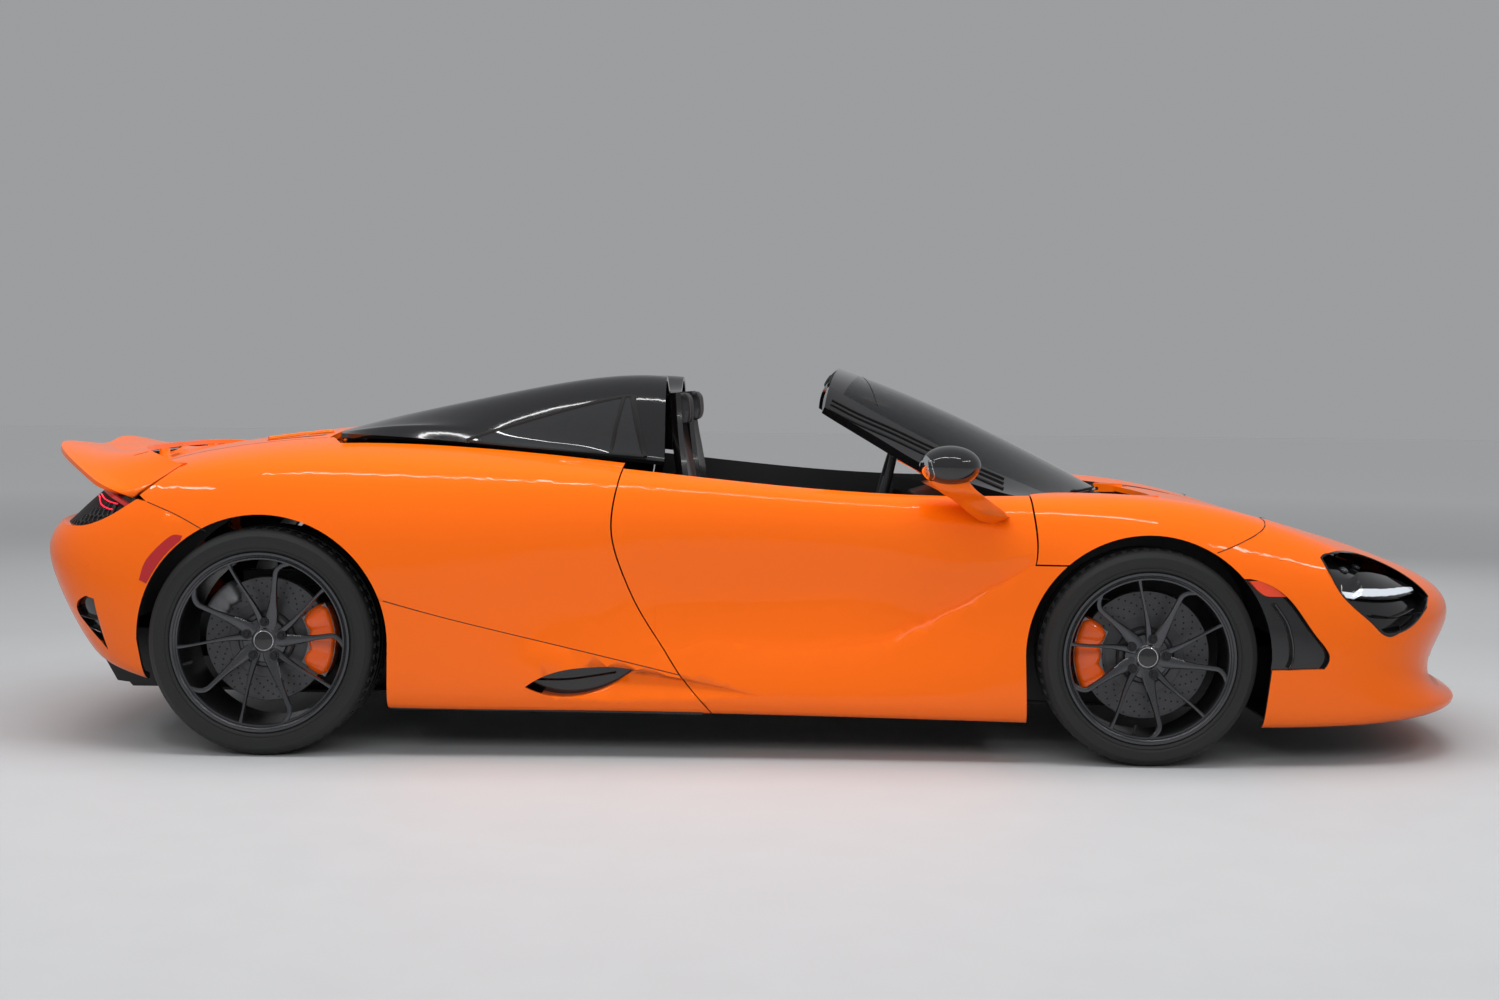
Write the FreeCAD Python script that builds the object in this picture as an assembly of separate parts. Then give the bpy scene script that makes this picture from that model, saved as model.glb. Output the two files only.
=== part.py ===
import FreeCAD, Part
import math
import os

# Open two-seat mid-engined sports car, millimetres, nose toward +X, up +Z, origin on the ground
# under the middle of the length. The near side of the photograph is the right side, at -Y.
os.makedirs("parts", exist_ok=True)
V = FreeCAD.Vector

# Overall sizes
WIDTH = 1930.0
HEIGHT = 1196.0
WHEELBASE = 2670.0
FRONT_OVERHANG = 1101.0
REAR_OVERHANG = 798.0
FRONT_TRACK = 1680.0
REAR_TRACK = 1629.0

# Gaps
SEAM = 0.4
SHUT_GAP = 5.0
RUNNING_GAP = 6.0
PIN_GAP = 0.3

# Panels
SKIN = 18.0
DOOR_INNER_Y = 792.0
GLASS = 5.0
FRAME_THICKNESS = 30.0

# Tyres and rims
FRONT_TYRE_RADIUS = 327.0
FRONT_TYRE_WIDTH = 245.0
FRONT_RIM_RADIUS = 241.0
REAR_TYRE_RADIUS = 345.5
REAR_TYRE_WIDTH = 305.0
REAR_RIM_RADIUS = 254.0
TYRE_WALL = 16.0
ARCH_CLEARANCE = 41.0
TYRE_SINK = 9.0
FRONT_AXLE_Z = FRONT_TYRE_RADIUS
REAR_AXLE_Z = REAR_TYRE_RADIUS

# Brakes and hubs
FRONT_DISC_RADIUS = 195.0
REAR_DISC_RADIUS = 190.0
DISC_THICKNESS = 32.0
HUB_RADIUS = 62.0
SPINDLE_RADIUS = 22.0
KINGPIN_RADIUS = 11.0

# Cabin
TUB_HALF_WIDTH = 780.0
NOSE_HALF_WIDTH = 460.0
FLOOR_THICKNESS = 34.0
TUB_WALL = 40.0
SILL_TOP = 400.0
UNDERFLOOR_THICKNESS = 8.0
SEAT_Y = 370.0
SEAT_WIDTH = 500.0
STEERING_WHEEL_RADIUS = 180.0
ENGINE_LENGTH = 620.0
ENGINE_WIDTH = 640.0
ENGINE_HEIGHT = 520.0

LENGTH = FRONT_OVERHANG + WHEELBASE + REAR_OVERHANG
TAIL_X = -LENGTH / 2.0
NOSE_X = LENGTH / 2.0
FRONT_AXLE_X = NOSE_X - FRONT_OVERHANG
REAR_AXLE_X = FRONT_AXLE_X - WHEELBASE
HALF_WIDTH = WIDTH / 2.0


# The body was drawn at 4569 long, 1930 wide and 1196 high, with its axles at 1183.5 and -1486.5,
# standing on loaded tyres. The round tyres here lift it by what the loaded ones sink.
# These carry any drawn point along with the driving sizes.
def fx(x):
    drawn = [-2284.5, -1486.5, 1183.5, 2284.5]
    real = [TAIL_X, REAR_AXLE_X, FRONT_AXLE_X, NOSE_X]
    i = 0
    if x > drawn[1]:
        i = 1
    if x > drawn[2]:
        i = 2
    share = (x - drawn[i]) / (drawn[i + 1] - drawn[i])
    return real[i] + share * (real[i + 1] - real[i])


def fy(y):
    return y * HALF_WIDTH / 965.0


def fz(z):
    return TYRE_SINK + z * HEIGHT / 1196.0


def clamped(count):
    spans = count - 3
    knots = [float(k) for k in range(spans + 1)]
    mults = [4] + [1] * (spans - 1) + [4]
    return knots, mults


def cubic_surface(rows):
    uk, um = clamped(len(rows))
    vk, vm = clamped(len(rows[0]))
    surface = Part.BSplineSurface()
    surface.buildFromPolesMultsKnots(rows, um, vm, uk, vk, False, False, 3, 3)
    return surface


# Body sections from the nose centre back to the tail centre, left side.
# Each runs from the bottom edge up the flank and over to the centre line.
def section(x, profile):
    return [(x, y, z) for y, z in profile]


NOSE_CENTRE = [(2150, 0, 118), (2290, 0, 128), (2292, 0, 165), (2170, 0, 205), (2185, 0, 290),
               (2262, 0, 375), (2278, 0, 450), (2215, 0, 515), (2060, 0, 575), (1900, 0, 630),
               (1720, 0, 680)]
NOSE_INNER = [(2150, 290, 118), (2288, 300, 128), (2290, 300, 165), (2170, 290, 205),
              (2185, 300, 290), (2252, 310, 375), (2262, 310, 450), (2190, 300, 520),
              (2010, 240, 590), (1850, 130, 650), (1640, 0, 690)]
NOSE_OUTER = [(2080, 590, 116), (2205, 615, 126), (2208, 615, 165), (2120, 600, 215),
              (2125, 610, 300), (2165, 620, 385), (2165, 615, 465), (2085, 580, 545),
              (1930, 450, 615), (1780, 230, 672), (1560, 0, 702)]
NOSE_CORNER = [(1950, 780, 112), (2020, 835, 120), (2020, 840, 170), (1990, 830, 240),
               (1985, 830, 330), (1990, 825, 420), (1975, 800, 510), (1900, 740, 590),
               (1800, 600, 650), (1680, 320, 695), (1480, 0, 722)]
BUMPER_SIDE = [(1760, 860, 108), (1760, 915, 108), (1760, 920, 180), (1755, 922, 270),
               (1755, 922, 370), (1750, 915, 470), (1745, 885, 570), (1720, 810, 655),
               (1670, 690, 700), (1560, 380, 722), (1380, 0, 745)]
ARCH_FRONT = [(1470, 890, 106), (1470, 945, 106), (1470, 955, 190), (1470, 960, 290),
              (1470, 960, 400), (1470, 958, 510), (1470, 938, 625), (1465, 860, 735),
              (1450, 740, 775), (1380, 400, 752), (1260, 0, 770)]
FRONT_AXLE_SECTION = section(1183.5, [(905, 108), (958, 108), (962, 200), (965, 310), (967, 430),
                                      (965, 550), (950, 680), (885, 785), (770, 818), (420, 770),
                                      (0, 775)])
ARCH_REAR = section(880, [(890, 112), (940, 114), (948, 205), (948, 315), (942, 430), (936, 545),
                          (925, 670), (880, 775), (780, 812), (400, 790), (0, 790)])
DOOR_FRONT = section(540, [(880, 118), (935, 120), (938, 210), (915, 315), (885, 425), (878, 540),
                           (890, 660), (865, 760), (790, 805), (400, 800), (0, 800)])
DOOR_MIDDLE = section(130, [(880, 125), (928, 128), (925, 220), (890, 320), (868, 430), (866, 545),
                            (884, 670), (868, 780), (790, 828), (400, 830), (0, 830)])
DOOR_REAR = section(-290, [(880, 130), (925, 134), (925, 225), (900, 325), (885, 440), (890, 560),
                           (905, 690), (880, 815), (780, 878), (400, 880), (0, 880)])
INTAKE_SECTION = section(-720, [(890, 132), (930, 136), (938, 225), (935, 330), (935, 450),
                                (945, 580), (945, 720), (900, 850), (760, 925), (400, 950),
                                (0, 950)])
HAUNCH_SECTION = section(-1120, [(900, 134), (950, 138), (958, 225), (960, 335), (965, 460),
                                 (970, 590), (960, 730), (900, 865), (770, 945), (430, 985),
                                 (0, 990)])
REAR_AXLE_SECTION = section(-1486.5, [(900, 150), (955, 155), (962, 240), (966, 345), (970, 465),
                                      (972, 590), (962, 725), (915, 850), (810, 932), (450, 960),
                                      (0, 960)])
QUARTER_REAR = section(-1800, [(880, 195), (935, 200), (945, 275), (950, 365), (950, 470),
                               (945, 585), (925, 700), (885, 810), (800, 890), (450, 905),
                               (0, 910)])
TAIL_CORNER = [(-1980, 790, 240), (-2000, 840, 245), (-2030, 855, 310), (-2060, 865, 390),
               (-2080, 870, 480), (-2085, 868, 570), (-2060, 850, 655), (-2010, 825, 735),
               (-1960, 780, 810), (-1950, 450, 870), (-1930, 0, 890)]
TAIL_OUTER = [(-2060, 600, 262), (-2090, 630, 268), (-2140, 650, 330), (-2185, 665, 410),
              (-2230, 675, 500), (-2262, 675, 580), (-2250, 670, 650), (-2190, 650, 700),
              (-2120, 600, 780), (-2040, 330, 860), (-1990, 0, 900)]
TAIL_INNER = [(-2090, 300, 275), (-2120, 310, 280), (-2165, 320, 340), (-2215, 330, 420),
              (-2262, 335, 505), (-2292, 335, 580), (-2282, 330, 650), (-2215, 320, 700),
              (-2140, 290, 790), (-2080, 160, 865), (-2030, 0, 900)]
TAIL_CENTRE = [(-2095, 0, 280), (-2125, 0, 284), (-2170, 0, 345), (-2220, 0, 425),
               (-2265, 0, 508), (-2294, 0, 580), (-2284, 0, 650), (-2220, 0, 700),
               (-2150, 0, 790), (-2100, 0, 865), (-2060, 0, 900)]
SECTIONS = [NOSE_CENTRE, NOSE_INNER, NOSE_OUTER, NOSE_CORNER, BUMPER_SIDE, ARCH_FRONT,
            FRONT_AXLE_SECTION, ARCH_REAR, DOOR_FRONT, DOOR_MIDDLE, DOOR_REAR, INTAKE_SECTION,
            HAUNCH_SECTION, REAR_AXLE_SECTION, QUARTER_REAR, TAIL_CORNER, TAIL_OUTER, TAIL_INNER,
            TAIL_CENTRE]


def body_poles():
    return [[V(fx(x), fy(y), fz(z)) for x, y, z in row] for row in SECTIONS]


# The inner side of the panels: every control point moved inward along the surface normal.
def mean_knot(i, spans):
    total = 0.0
    for k in (i, i - 1, i - 2):
        total += min(max(k, 0), spans)
    return min(max(total / 3.0, 0.2), spans - 0.2)


def inward(rows, depth):
    surface = cubic_surface(rows)
    moved = []
    for i in range(len(rows)):
        u = mean_knot(i, len(rows) - 3)
        line = []
        for j in range(len(rows[0])):
            v = mean_knot(j, len(rows[0]) - 3)
            normal = surface.normal(u, v)
            pole = rows[i][j]
            outward = V(pole.x * 0.2, pole.y, pole.z - 400.0)
            if normal.dot(outward) < 0:
                normal = normal * -1
            point = pole - normal * depth
            if pole.y < 1e-6:
                point.y = 0.0
            line.append(point)
        moved.append(line)
    return moved


def solid_of(faces):
    shell = Part.makeShell(faces)
    shell.sewShape()
    solid = Part.makeSolid(Part.Shell(shell.Faces))
    if solid.Volume < 0:
        solid.reverse()
    return solid


def closed_skin(outer_rows, inner_rows):
    outer = cubic_surface(outer_rows).toShape()
    inner = cubic_surface(inner_rows).toShape()
    faces = [outer, inner]
    for a, b in ((0, 0), (-1, -1)):
        faces.append(rule(outer_rows[a], inner_rows[b]))
    faces.append(rule([r[0] for r in outer_rows], [r[0] for r in inner_rows]))
    faces.append(rule([r[-1] for r in outer_rows], [r[-1] for r in inner_rows]))
    return solid_of(faces)


def cubic_edge(poles):
    knots, mults = clamped(len(poles))
    curve = Part.BSplineCurve()
    curve.buildFromPolesMultsKnots(poles, mults, knots, False, 3)
    return curve.toShape()


def rule(poles_a, poles_b):
    return Part.makeRuledSurface(cubic_edge(poles_a), cubic_edge(poles_b))


def mirrored(shape):
    return shape.mirror(V(0, 0, 0), V(0, 1, 0))


def box(x0, x1, y0, y1, z0, z1):
    corner = V(min(x0, x1), min(y0, y1), min(z0, z1))
    return Part.makeBox(abs(x1 - x0), abs(y1 - y0), abs(z1 - z0), corner)


def polygon(points):
    return Part.Face(Part.makePolygon(points + [points[0]]))


# An outline is a list of runs: a run of two points is straight, a longer one is a smooth curve.
def outline_edges(runs, lift):
    edges = []
    for k in range(len(runs)):
        run = [lift(p) for p in runs[k]]
        if len(run) > 2:
            curve = Part.BSplineCurve()
            curve.interpolate(run)
            edges.append(curve.toShape())
        if len(run) == 2:
            edges.append(Part.makeLine(run[0], run[1]))
        after = lift(runs[(k + 1) % len(runs)][0])
        if run[-1].distanceToPoint(after) > 0.01:
            edges.append(Part.makeLine(run[-1], after))
    return edges


def side_prism(runs, y0, y1):
    edges = outline_edges(runs, lambda p: V(fx(p[0]), y0, fz(p[1])))
    face = Part.Face(Part.Wire(Part.__sortEdges__(edges)))
    return face.extrude(V(0, y1 - y0, 0))


def top_prism(runs, z0, z1):
    edges = outline_edges(runs, lambda p: V(fx(p[0]), fy(p[1]), z0))
    face = Part.Face(Part.Wire(Part.__sortEdges__(edges)))
    return face.extrude(V(0, 0, z1 - z0))


def shifted(run, dx, dz):
    return [(x + dx, z + dz) for x, z in run]


def export(shape, name):
    shape.exportStep("parts/" + name + ".step")


def both_sides(shape, name):
    export(shape, name + "_left")
    export(mirrored(shape), name + "_right")


def pair(shape):
    return Part.makeCompound([shape, mirrored(shape)])


def across(shape):
    whole = shape.fuse(mirrored(shape))
    return whole.removeSplitter()


# The whole left half as one solid, for the pieces that are thicker than a panel.
def half_volume(rows):
    bottom = [r[0] for r in rows]
    keel = [V(p.x, 0, p.z) for p in bottom]
    outer = cubic_surface(rows).toShape()
    floor = rule(bottom, keel)
    edges = [cubic_edge(rows[0]), cubic_edge(rows[-1]), cubic_edge([r[-1] for r in rows])]
    edges.append(cubic_edge(keel))
    centre = Part.Face(Part.Wire(Part.__sortEdges__(edges)))
    return solid_of([outer, floor, centre])


def smooth_surface(grid):
    surface = Part.BSplineSurface()
    surface.interpolate(grid)
    return surface


def edge_pair(curve_a, curve_b):
    return Part.makeRuledSurface(curve_a, curve_b)


POLES = body_poles()
SKIN_LEFT = closed_skin(POLES, inward(POLES, SKIN))
BODY_LEFT = half_volume(POLES)

# Shut lines in side view, drawn x and z
DOOR_REAR_LINE = [(-396, 900), (-424, 772), (-430, 681), (-399, 561), (-344, 440), (-267, 320),
                  (-197, 217), (-130, 140), (-105, 100)]
DOOR_FRONT_LINE = [(833, 860), (834, 764), (843, 695), (841, 590)]
LOWER_LINE = [(-1160, 480), (-1142, 474), (-915, 413), (-613, 340), (-221, 248), (-150, 232)]
BUMPER_FRONT_LINE = [(1376, 634), (1455, 664), (1531, 700), (1585, 760), (1640, 900)]
BUMPER_REAR_LINE = [(-1640, 660), (-1666, 677), (-1750, 718), (-1851, 754), (-1890, 780)]

FRONT_ARCH_RADIUS = FRONT_TYRE_RADIUS + ARCH_CLEARANCE
REAR_ARCH_RADIUS = REAR_TYRE_RADIUS + ARCH_CLEARANCE - 1.5
ARCH_FRONT_Z = 318.0
ARCH_REAR_Z = 337.0


def arch_opening(axle_x, radius, z, front_foot, rear_foot):
    run = []
    for k in range(13):
        angle = math.pi * k / 12.0
        run.append(V(axle_x + radius * math.cos(angle), 300, fz(z) + radius * math.sin(angle)))
    curve = Part.Arc(run[0], run[6], run[12]).toShape()
    foot_a = V(rear_foot, 300, 0)
    foot_b = V(front_foot, 300, 0)
    lines = [Part.makeLine(run[12], foot_a), Part.makeLine(foot_a, foot_b)]
    lines.append(Part.makeLine(foot_b, run[0]))
    face = Part.Face(Part.Wire([curve] + lines))
    return face.extrude(V(0, 900, 0))


FRONT_ARCH = arch_opening(FRONT_AXLE_X, FRONT_ARCH_RADIUS, ARCH_FRONT_Z,
                          FRONT_AXLE_X + 330.0, FRONT_AXLE_X - 358.0)
REAR_ARCH = arch_opening(REAR_AXLE_X, REAR_ARCH_RADIUS, ARCH_REAR_Z,
                         REAR_AXLE_X + 381.0, REAR_AXLE_X - 330.0)

# Bonnet outline in plan, drawn x and y
BONNET_SIDE = [(1200, 500), (1500, 470), (1760, 400), (1900, 300)]
BONNET_FRONT = [(1900, 300), (1975, 180), (2000, 0)]
BONNET_REAR = [(1335, 0), (1310, 250), (1200, 500)]
BONNET_GAP = 7.0
HINGE_PIN = 6.0
BONNET_HINGE_X = fx(1195)
BONNET_HINGE_Z = fz(762)


def bonnet_prism(grow):
    side = [(x, y + grow) for x, y in BONNET_SIDE]
    front = [side[-1]] + [(x + grow, y) for x, y in BONNET_FRONT[1:]]
    rear = [(x - grow, y) for x, y in BONNET_REAR[:-1]] + [(side[0][0] - grow, side[0][1])]
    side = [rear[-1]] + side[1:]
    return top_prism([rear, side, front], 300, 1300)


def bore_y(x, z, radius, y0, y1):
    return Part.makeCylinder(radius, y1 - y0, V(x, y0, z), V(0, 1, 0))


bonnet_half = SKIN_LEFT.common(bonnet_prism(0))
BONNET_LUG_Y = 400.0
LUG = 20.0
lug = box(BONNET_HINGE_X - 12, BONNET_HINGE_X + 90, BONNET_LUG_Y, BONNET_LUG_Y + LUG,
          BONNET_HINGE_Z - 12, fz(780))
lug = lug.cut(bore_y(BONNET_HINGE_X, BONNET_HINGE_Z, HINGE_PIN + PIN_GAP, 300, 500))
export(across(bonnet_half.fuse(lug)), "bonnet")


# Door: an outer skin to the shut lines and an inset inner part as deep as the space to the cabin
def door_prism(gap, y0):
    rear = shifted(DOOR_REAR_LINE, -gap, 0)
    front = shifted(DOOR_FRONT_LINE, gap, gap)
    runs = [rear, [(rear[-1][0], 60), (822, 60)], [(822, 60), (822, 300)]]
    runs.append([(1100, 300), (1100, 590 + gap)])
    runs.append([(1100, 590 + gap), (841 + gap, 590 + gap)])
    runs.append(list(reversed(front)))
    runs.append([(front[0][0], 1000), (rear[0][0], 1000)])
    return side_prism(runs, y0, 1100)


# A hollow pressed into the flank: a solid between its floor and the air outside. The floor is
# deepest along a lip and rises to the skin over its height.
def flank_at(x, z):
    line = Part.makeLine(V(fx(x), 600, fz(z)), V(fx(x), 1100, fz(z)))
    points = BODY_LEFT.common(line)
    return max(vertex.Y for vertex in points.Vertexes)


def hollow(lip, height_line, depths, shares):
    floor = []
    air = []
    for k in range(len(lip)):
        floor_row = []
        air_row = []
        for share, fall in shares:
            x = lip[k][0] + (height_line[k][0] - lip[k][0]) * share
            z = lip[k][1] + (height_line[k][1] - lip[k][1]) * share
            y = flank_at(x, z)
            floor_row.append(V(fx(x), y - depths[k] * fall, fz(z)))
            air_row.append(V(fx(x), y + 40, fz(z)))
        floor.append(floor_row)
        air.append(air_row)
    inner = smooth_surface(floor)
    outer = smooth_surface(air)
    faces = [inner.toShape(), outer.toShape()]
    a = inner.bounds()
    b = outer.bounds()
    for k in (0, 1):
        faces.append(edge_pair(inner.uIso(a[k]).toShape(), outer.uIso(b[k]).toShape()))
        faces.append(edge_pair(inner.vIso(a[2 + k]).toShape(), outer.vIso(b[2 + k]).toShape()))
    return solid_of(faces)


DOOR_LIP = [(838, 592), (756, 542), (676, 493), (575, 436), (474, 385), (400, 357), (319, 345), (139, 329),
            (-20, 338), (-161, 350), (-300, 372)]
DOOR_FADE = [(840, 640), (770, 625), (690, 610), (600, 600), (500, 590), (410, 580), (319, 575), (139, 570),
             (-20, 570), (-161, 575), (-300, 580)]
DOOR_DEPTHS = [4.0, 10.0, 14.0, 16.0, 16.0, 13.0, 9.0, 6.0, 4.5, 3.0, 1.5]
FADE = [(0.0, 1.0), (0.25, 0.72), (0.5, 0.42), (0.75, 0.14), (1.0, -0.1)]
CHANNEL_LIP = [(20, 192), (-60, 206), (-150, 226), (-250, 244), (-350, 262), (-465, 271), (-560, 256)]
CHANNEL_FOOT = [(10, 182), (-75, 180), (-170, 176), (-270, 172), (-370, 168), (-480, 168), (-580, 170)]
CHANNEL_DEPTHS = [1.0, 5.0, 12.0, 20.0, 28.0, 36.0, 40.0]
CHANNEL_FADE = [(0.0, 1.0), (0.3, 0.85), (0.6, 0.5), (1.0, -0.1)]
DOOR_FLANGE = 34.0
STEERING_ROOM = 46.0
ARCH_ROOM = arch_opening(FRONT_AXLE_X, FRONT_ARCH_RADIUS + STEERING_ROOM, ARCH_FRONT_Z,
                         FRONT_AXLE_X + 400.0, FRONT_AXLE_X - 410.0)
door_hollow = hollow(DOOR_LIP, DOOR_FADE, DOOR_DEPTHS, FADE)
channel = hollow(CHANNEL_LIP, CHANNEL_FOOT, CHANNEL_DEPTHS, CHANNEL_FADE)
door_core = BODY_LEFT.common(door_prism(-DOOR_FLANGE, DOOR_INNER_Y)).cut(ARCH_ROOM)
door_skin = SKIN_LEFT.common(door_prism(0, 700)).common(box(-3000, 3000, DOOR_INNER_Y, 1200, 0, 2000))
door = door_skin.cut(FRONT_ARCH).fuse(door_core).removeSplitter()
door = door.cut(door_hollow).cut(channel)
door = max(door.Solids, key=lambda piece: piece.Volume)
DOOR_ROOM = door_prism(SHUT_GAP, 300)


# Door mirror: a cap on an arm that grows out of the door
def mirror_shape():
    cap = Part.makeSphere(70, V(0, 0, 0))
    matrix = FreeCAD.Matrix()
    matrix.scale(1.3, 1.2, 0.86)
    cap = cap.transformGeometry(matrix)
    cap.translate(V(fx(578), fy(994), fz(890)))
    arm = polygon([V(fx(500), fy(850), fz(838)), V(fx(600), fy(850), fz(850)), V(fx(763), fy(850), fz(735)),
                   V(fx(690), fy(850), fz(745))])
    arm = arm.extrude(V(0, 110, 0))
    return cap, arm


mirror_cap, mirror_arm = mirror_shape()
both_sides(door, "door")
mirror = mirror_cap.fuse(mirror_arm).cut(door)
mirror = max(mirror.Solids, key=lambda piece: piece.Volume)
both_sides(mirror, "mirror")

# Front fender: from the door to the bumper, over the wheel and in to the bonnet
fender_outline = [[(700, 60), (1376, 60)], [(1376, 60), (1376, 634)], BUMPER_FRONT_LINE,
                  [(1640, 900), (700, 900)]]
fender = SKIN_LEFT.common(side_prism(fender_outline, 300, 1100)).cut(DOOR_ROOM)
fender = fender.cut(FRONT_ARCH).cut(bonnet_prism(BONNET_GAP))
COWL_ROOM = top_prism([[(300, -10), (300, 790)], [(820, 790), (980, 640), (1180, 508)],
                       [(1180, 508), (1345, 400), (1345, -10)]], 300, 1300)
fender = fender.cut(COWL_ROOM)
export(pair(fender), "front_fenders")

# Front bumper
bumper_outline = [shifted(BUMPER_FRONT_LINE, SEAM, -SEAM), [(1640, 900), (2400, 900)],
                  [(2400, 60), (1376, 60)]]
bumper_half = SKIN_LEFT.common(side_prism(bumper_outline, -10, 1100))
bumper_half = bumper_half.cut(FRONT_ARCH).cut(bonnet_prism(BONNET_GAP))
HEADLAMP_OUTLINE = [[(1707, 620), (1740, 630), (1870, 617), (2002, 562), (2088, 489)],
                    [(2088, 489), (2061, 450), (1950, 388), (1904, 387)],
                    [(1904, 387), (1856, 429), (1770, 504), (1732, 569), (1707, 620)]]
DUCT_OUTLINE = [[(1480, 560), (1594, 504), (1690, 380), (1725, 326), (1708, 289)],
                [(1708, 289), (1400, 283)], [(1400, 283), (1400, 560)]]
bumper_half = bumper_half.cut(side_prism(HEADLAMP_OUTLINE, 300, 1100))
bumper_half = bumper_half.cut(side_prism(DUCT_OUTLINE, 600, 1100))
LOWER_INTAKE = top_prism([[(1900, -10), (1900, 600)], [(2400, 600), (2400, -10)]], 205, 300)
bumper_half = bumper_half.cut(LOWER_INTAKE)
front_bumper = across(bumper_half)
export(front_bumper, "front_bumper")

# A panel of even thickness on a surface through a grid of points.
def panel(grid, depth, u0=0.0, u1=1.0, v0=0.0, v1=1.0, steps_u=9, steps_v=7):
    base = smooth_surface(grid)
    ua, ub, va, vb = base.bounds()
    outer = []
    inner = []
    for i in range(steps_u):
        line_a = []
        line_b = []
        for j in range(steps_v):
            u = ua + (ub - ua) * (u0 + (u1 - u0) * i / (steps_u - 1.0))
            v = va + (vb - va) * (v0 + (v1 - v0) * j / (steps_v - 1.0))
            point = base.value(u, v)
            normal = base.normal(u, v)
            line_a.append(point)
            line_b.append(point + normal * depth)
        outer.append(line_a)
        inner.append(line_b)
    face_a = smooth_surface(outer)
    face_b = smooth_surface(inner)
    faces = [face_a.toShape(), face_b.toShape()]
    a = face_a.bounds()
    b = face_b.bounds()
    for k in (0, 1):
        faces.append(edge_pair(face_a.uIso(a[k]).toShape(), face_b.uIso(b[k]).toShape()))
        faces.append(edge_pair(face_a.vIso(a[2 + k]).toShape(), face_b.vIso(b[2 + k]).toShape()))
    return solid_of(faces)


# Points drawn for the left half, mirrored to the full width.
def full_width(rows):
    grid = []
    for row in rows:
        line = [V(fx(x), -fy(y), fz(z)) for x, y, z in reversed(row[1:])]
        grid.append(line + [V(fx(x), fy(y), fz(z)) for x, y, z in row])
    return grid


# Wing: a blade across the tail with raised tips and sides that turn down to the quarters
WING_THICKNESS = 16.0
wing_rows = [[(-1992, 0, 909), (-1989, 300, 907), (-1938, 560, 903), (-1864, 690, 890), (-1757, 798, 868)],
             [(-2110, 0, 893), (-2110, 300, 893), (-2060, 560, 880), (-1990, 690, 850), (-1855, 808, 803)],
             [(-2250, 0, 903), (-2275, 300, 919), (-2200, 560, 888), (-2100, 700, 840), (-1912, 803, 758)]]
wing = panel(full_width(wing_rows), WING_THICKNESS, steps_v=17)
WING_POST_X = fx(-2020)
WING_POST_Y = 300.0
WING_POST_RADIUS = 11.0
WING_POST_FOOT = fz(762)
WING_LIFT = V(-math.sin(math.radians(15.0)), 0, math.cos(math.radians(15.0)))
wing_post_low = V(WING_POST_X, WING_POST_Y, fz(820)) - WING_LIFT * ((fz(820) - WING_POST_FOOT) / WING_LIFT.z)
wing_post_length = (fz(896) - WING_POST_FOOT) / WING_LIFT.z
wing_post = Part.makeCylinder(WING_POST_RADIUS, wing_post_length, wing_post_low, WING_LIFT)
wing = wing.fuse([wing_post, mirrored(wing_post)]).removeSplitter()
export(wing, "rear_wing")


# Room for the wing: the same blade, thicker and wider by the shut gap
def wing_clearance(gap):
    grid = []
    for i in range(len(wing_rows)):
        ahead = gap if i == 0 else 0.0
        row = [(x + ahead, y, z) for x, y, z in wing_rows[i]]
        line = [V(fx(row[0][0]), -20, fz(row[0][2]))] + [V(fx(x), fy(y), fz(z)) for x, y, z in row[1:]]
        edge = line[-1] - line[-2]
        edge.normalize()
        line[-1] = line[-1] + edge * gap
        grid.append(line)
    below = panel(grid, WING_THICKNESS + gap)
    above = panel(grid, -60.0)
    return below.fuse(above)


WING_SPACE = wing_clearance(SHUT_GAP)


def clear_of_wing(shape):
    left = shape.cut(WING_SPACE)
    return max(left.Solids, key=lambda piece: piece.Volume)


# Rear quarter, the lower side panel and the rear bumper
DECK_EDGE = 620.0
CABIN_EDGE = 722.0
LAMP_LINE = [(-2400, 672), (-2171, 675), (-2080, 672), (-2000, 694), (-1927, 733), (-1885, 759)]
TOP_ROOM = top_prism([[(-2400, -10), (-2400, DECK_EDGE)], [(-1330, DECK_EDGE), (-1290, CABIN_EDGE)],
                      [(-200, CABIN_EDGE), (-200, -10)]], 300, 1300)
WING_SIDE_LINE = [(-1700, 1000), (-1741, 885), (-1783, 844), (-1897, 752)]
WING_PLAN_LINE = [(-1985, -10), (-1982, 300), (-1930, 560), (-1855, 690), (-1743, 800)]


def wing_room(gap):
    side = side_prism([shifted(WING_SIDE_LINE, gap, 0), [(-1897 + gap, 752), (-2160, 872)],
                       [(-2160, 872), (-2600, 872)], [(-2600, 1100), (-1700 + gap, 1100)]], -20, 1100)
    plan = top_prism([[(x + gap, y) for x, y in WING_PLAN_LINE], [(-1690, 1100), (-2600, 1100)],
                      [(-2600, -10), (-1985 + gap, -10)]], 600, 1200)
    return side.common(plan)


rear_part = SKIN_LEFT.common(box(-3000, 0, -10, 1100, 0, 1300)).cut(DOOR_ROOM).cut(REAR_ARCH)
rear_part = rear_part.cut(wing_room(0))
below_line = side_prism([[(-1160, 60), (-1160, 480)], LOWER_LINE, [(-150, 232), (0, 60)]], 300, 1100)
side_panel = rear_part.common(below_line)
SILL_CORE_Y = 850.0
sill_core = BODY_LEFT.common(below_line).common(box(fx(-640), fx(-100), SILL_CORE_Y, 1100, 0, 600))
side_panel = side_panel.fuse(sill_core.cut(DOOR_ROOM)).cut(channel).removeSplitter()
INTAKE_OUTLINE = [[(-689, 208), (-631, 242), (-465, 269), (-362, 261)],
                  [(-362, 261), (-495, 189), (-586, 179), (-689, 208)]]
side_panel = side_panel.cut(side_prism(INTAKE_OUTLINE, 600, 1100))
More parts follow.
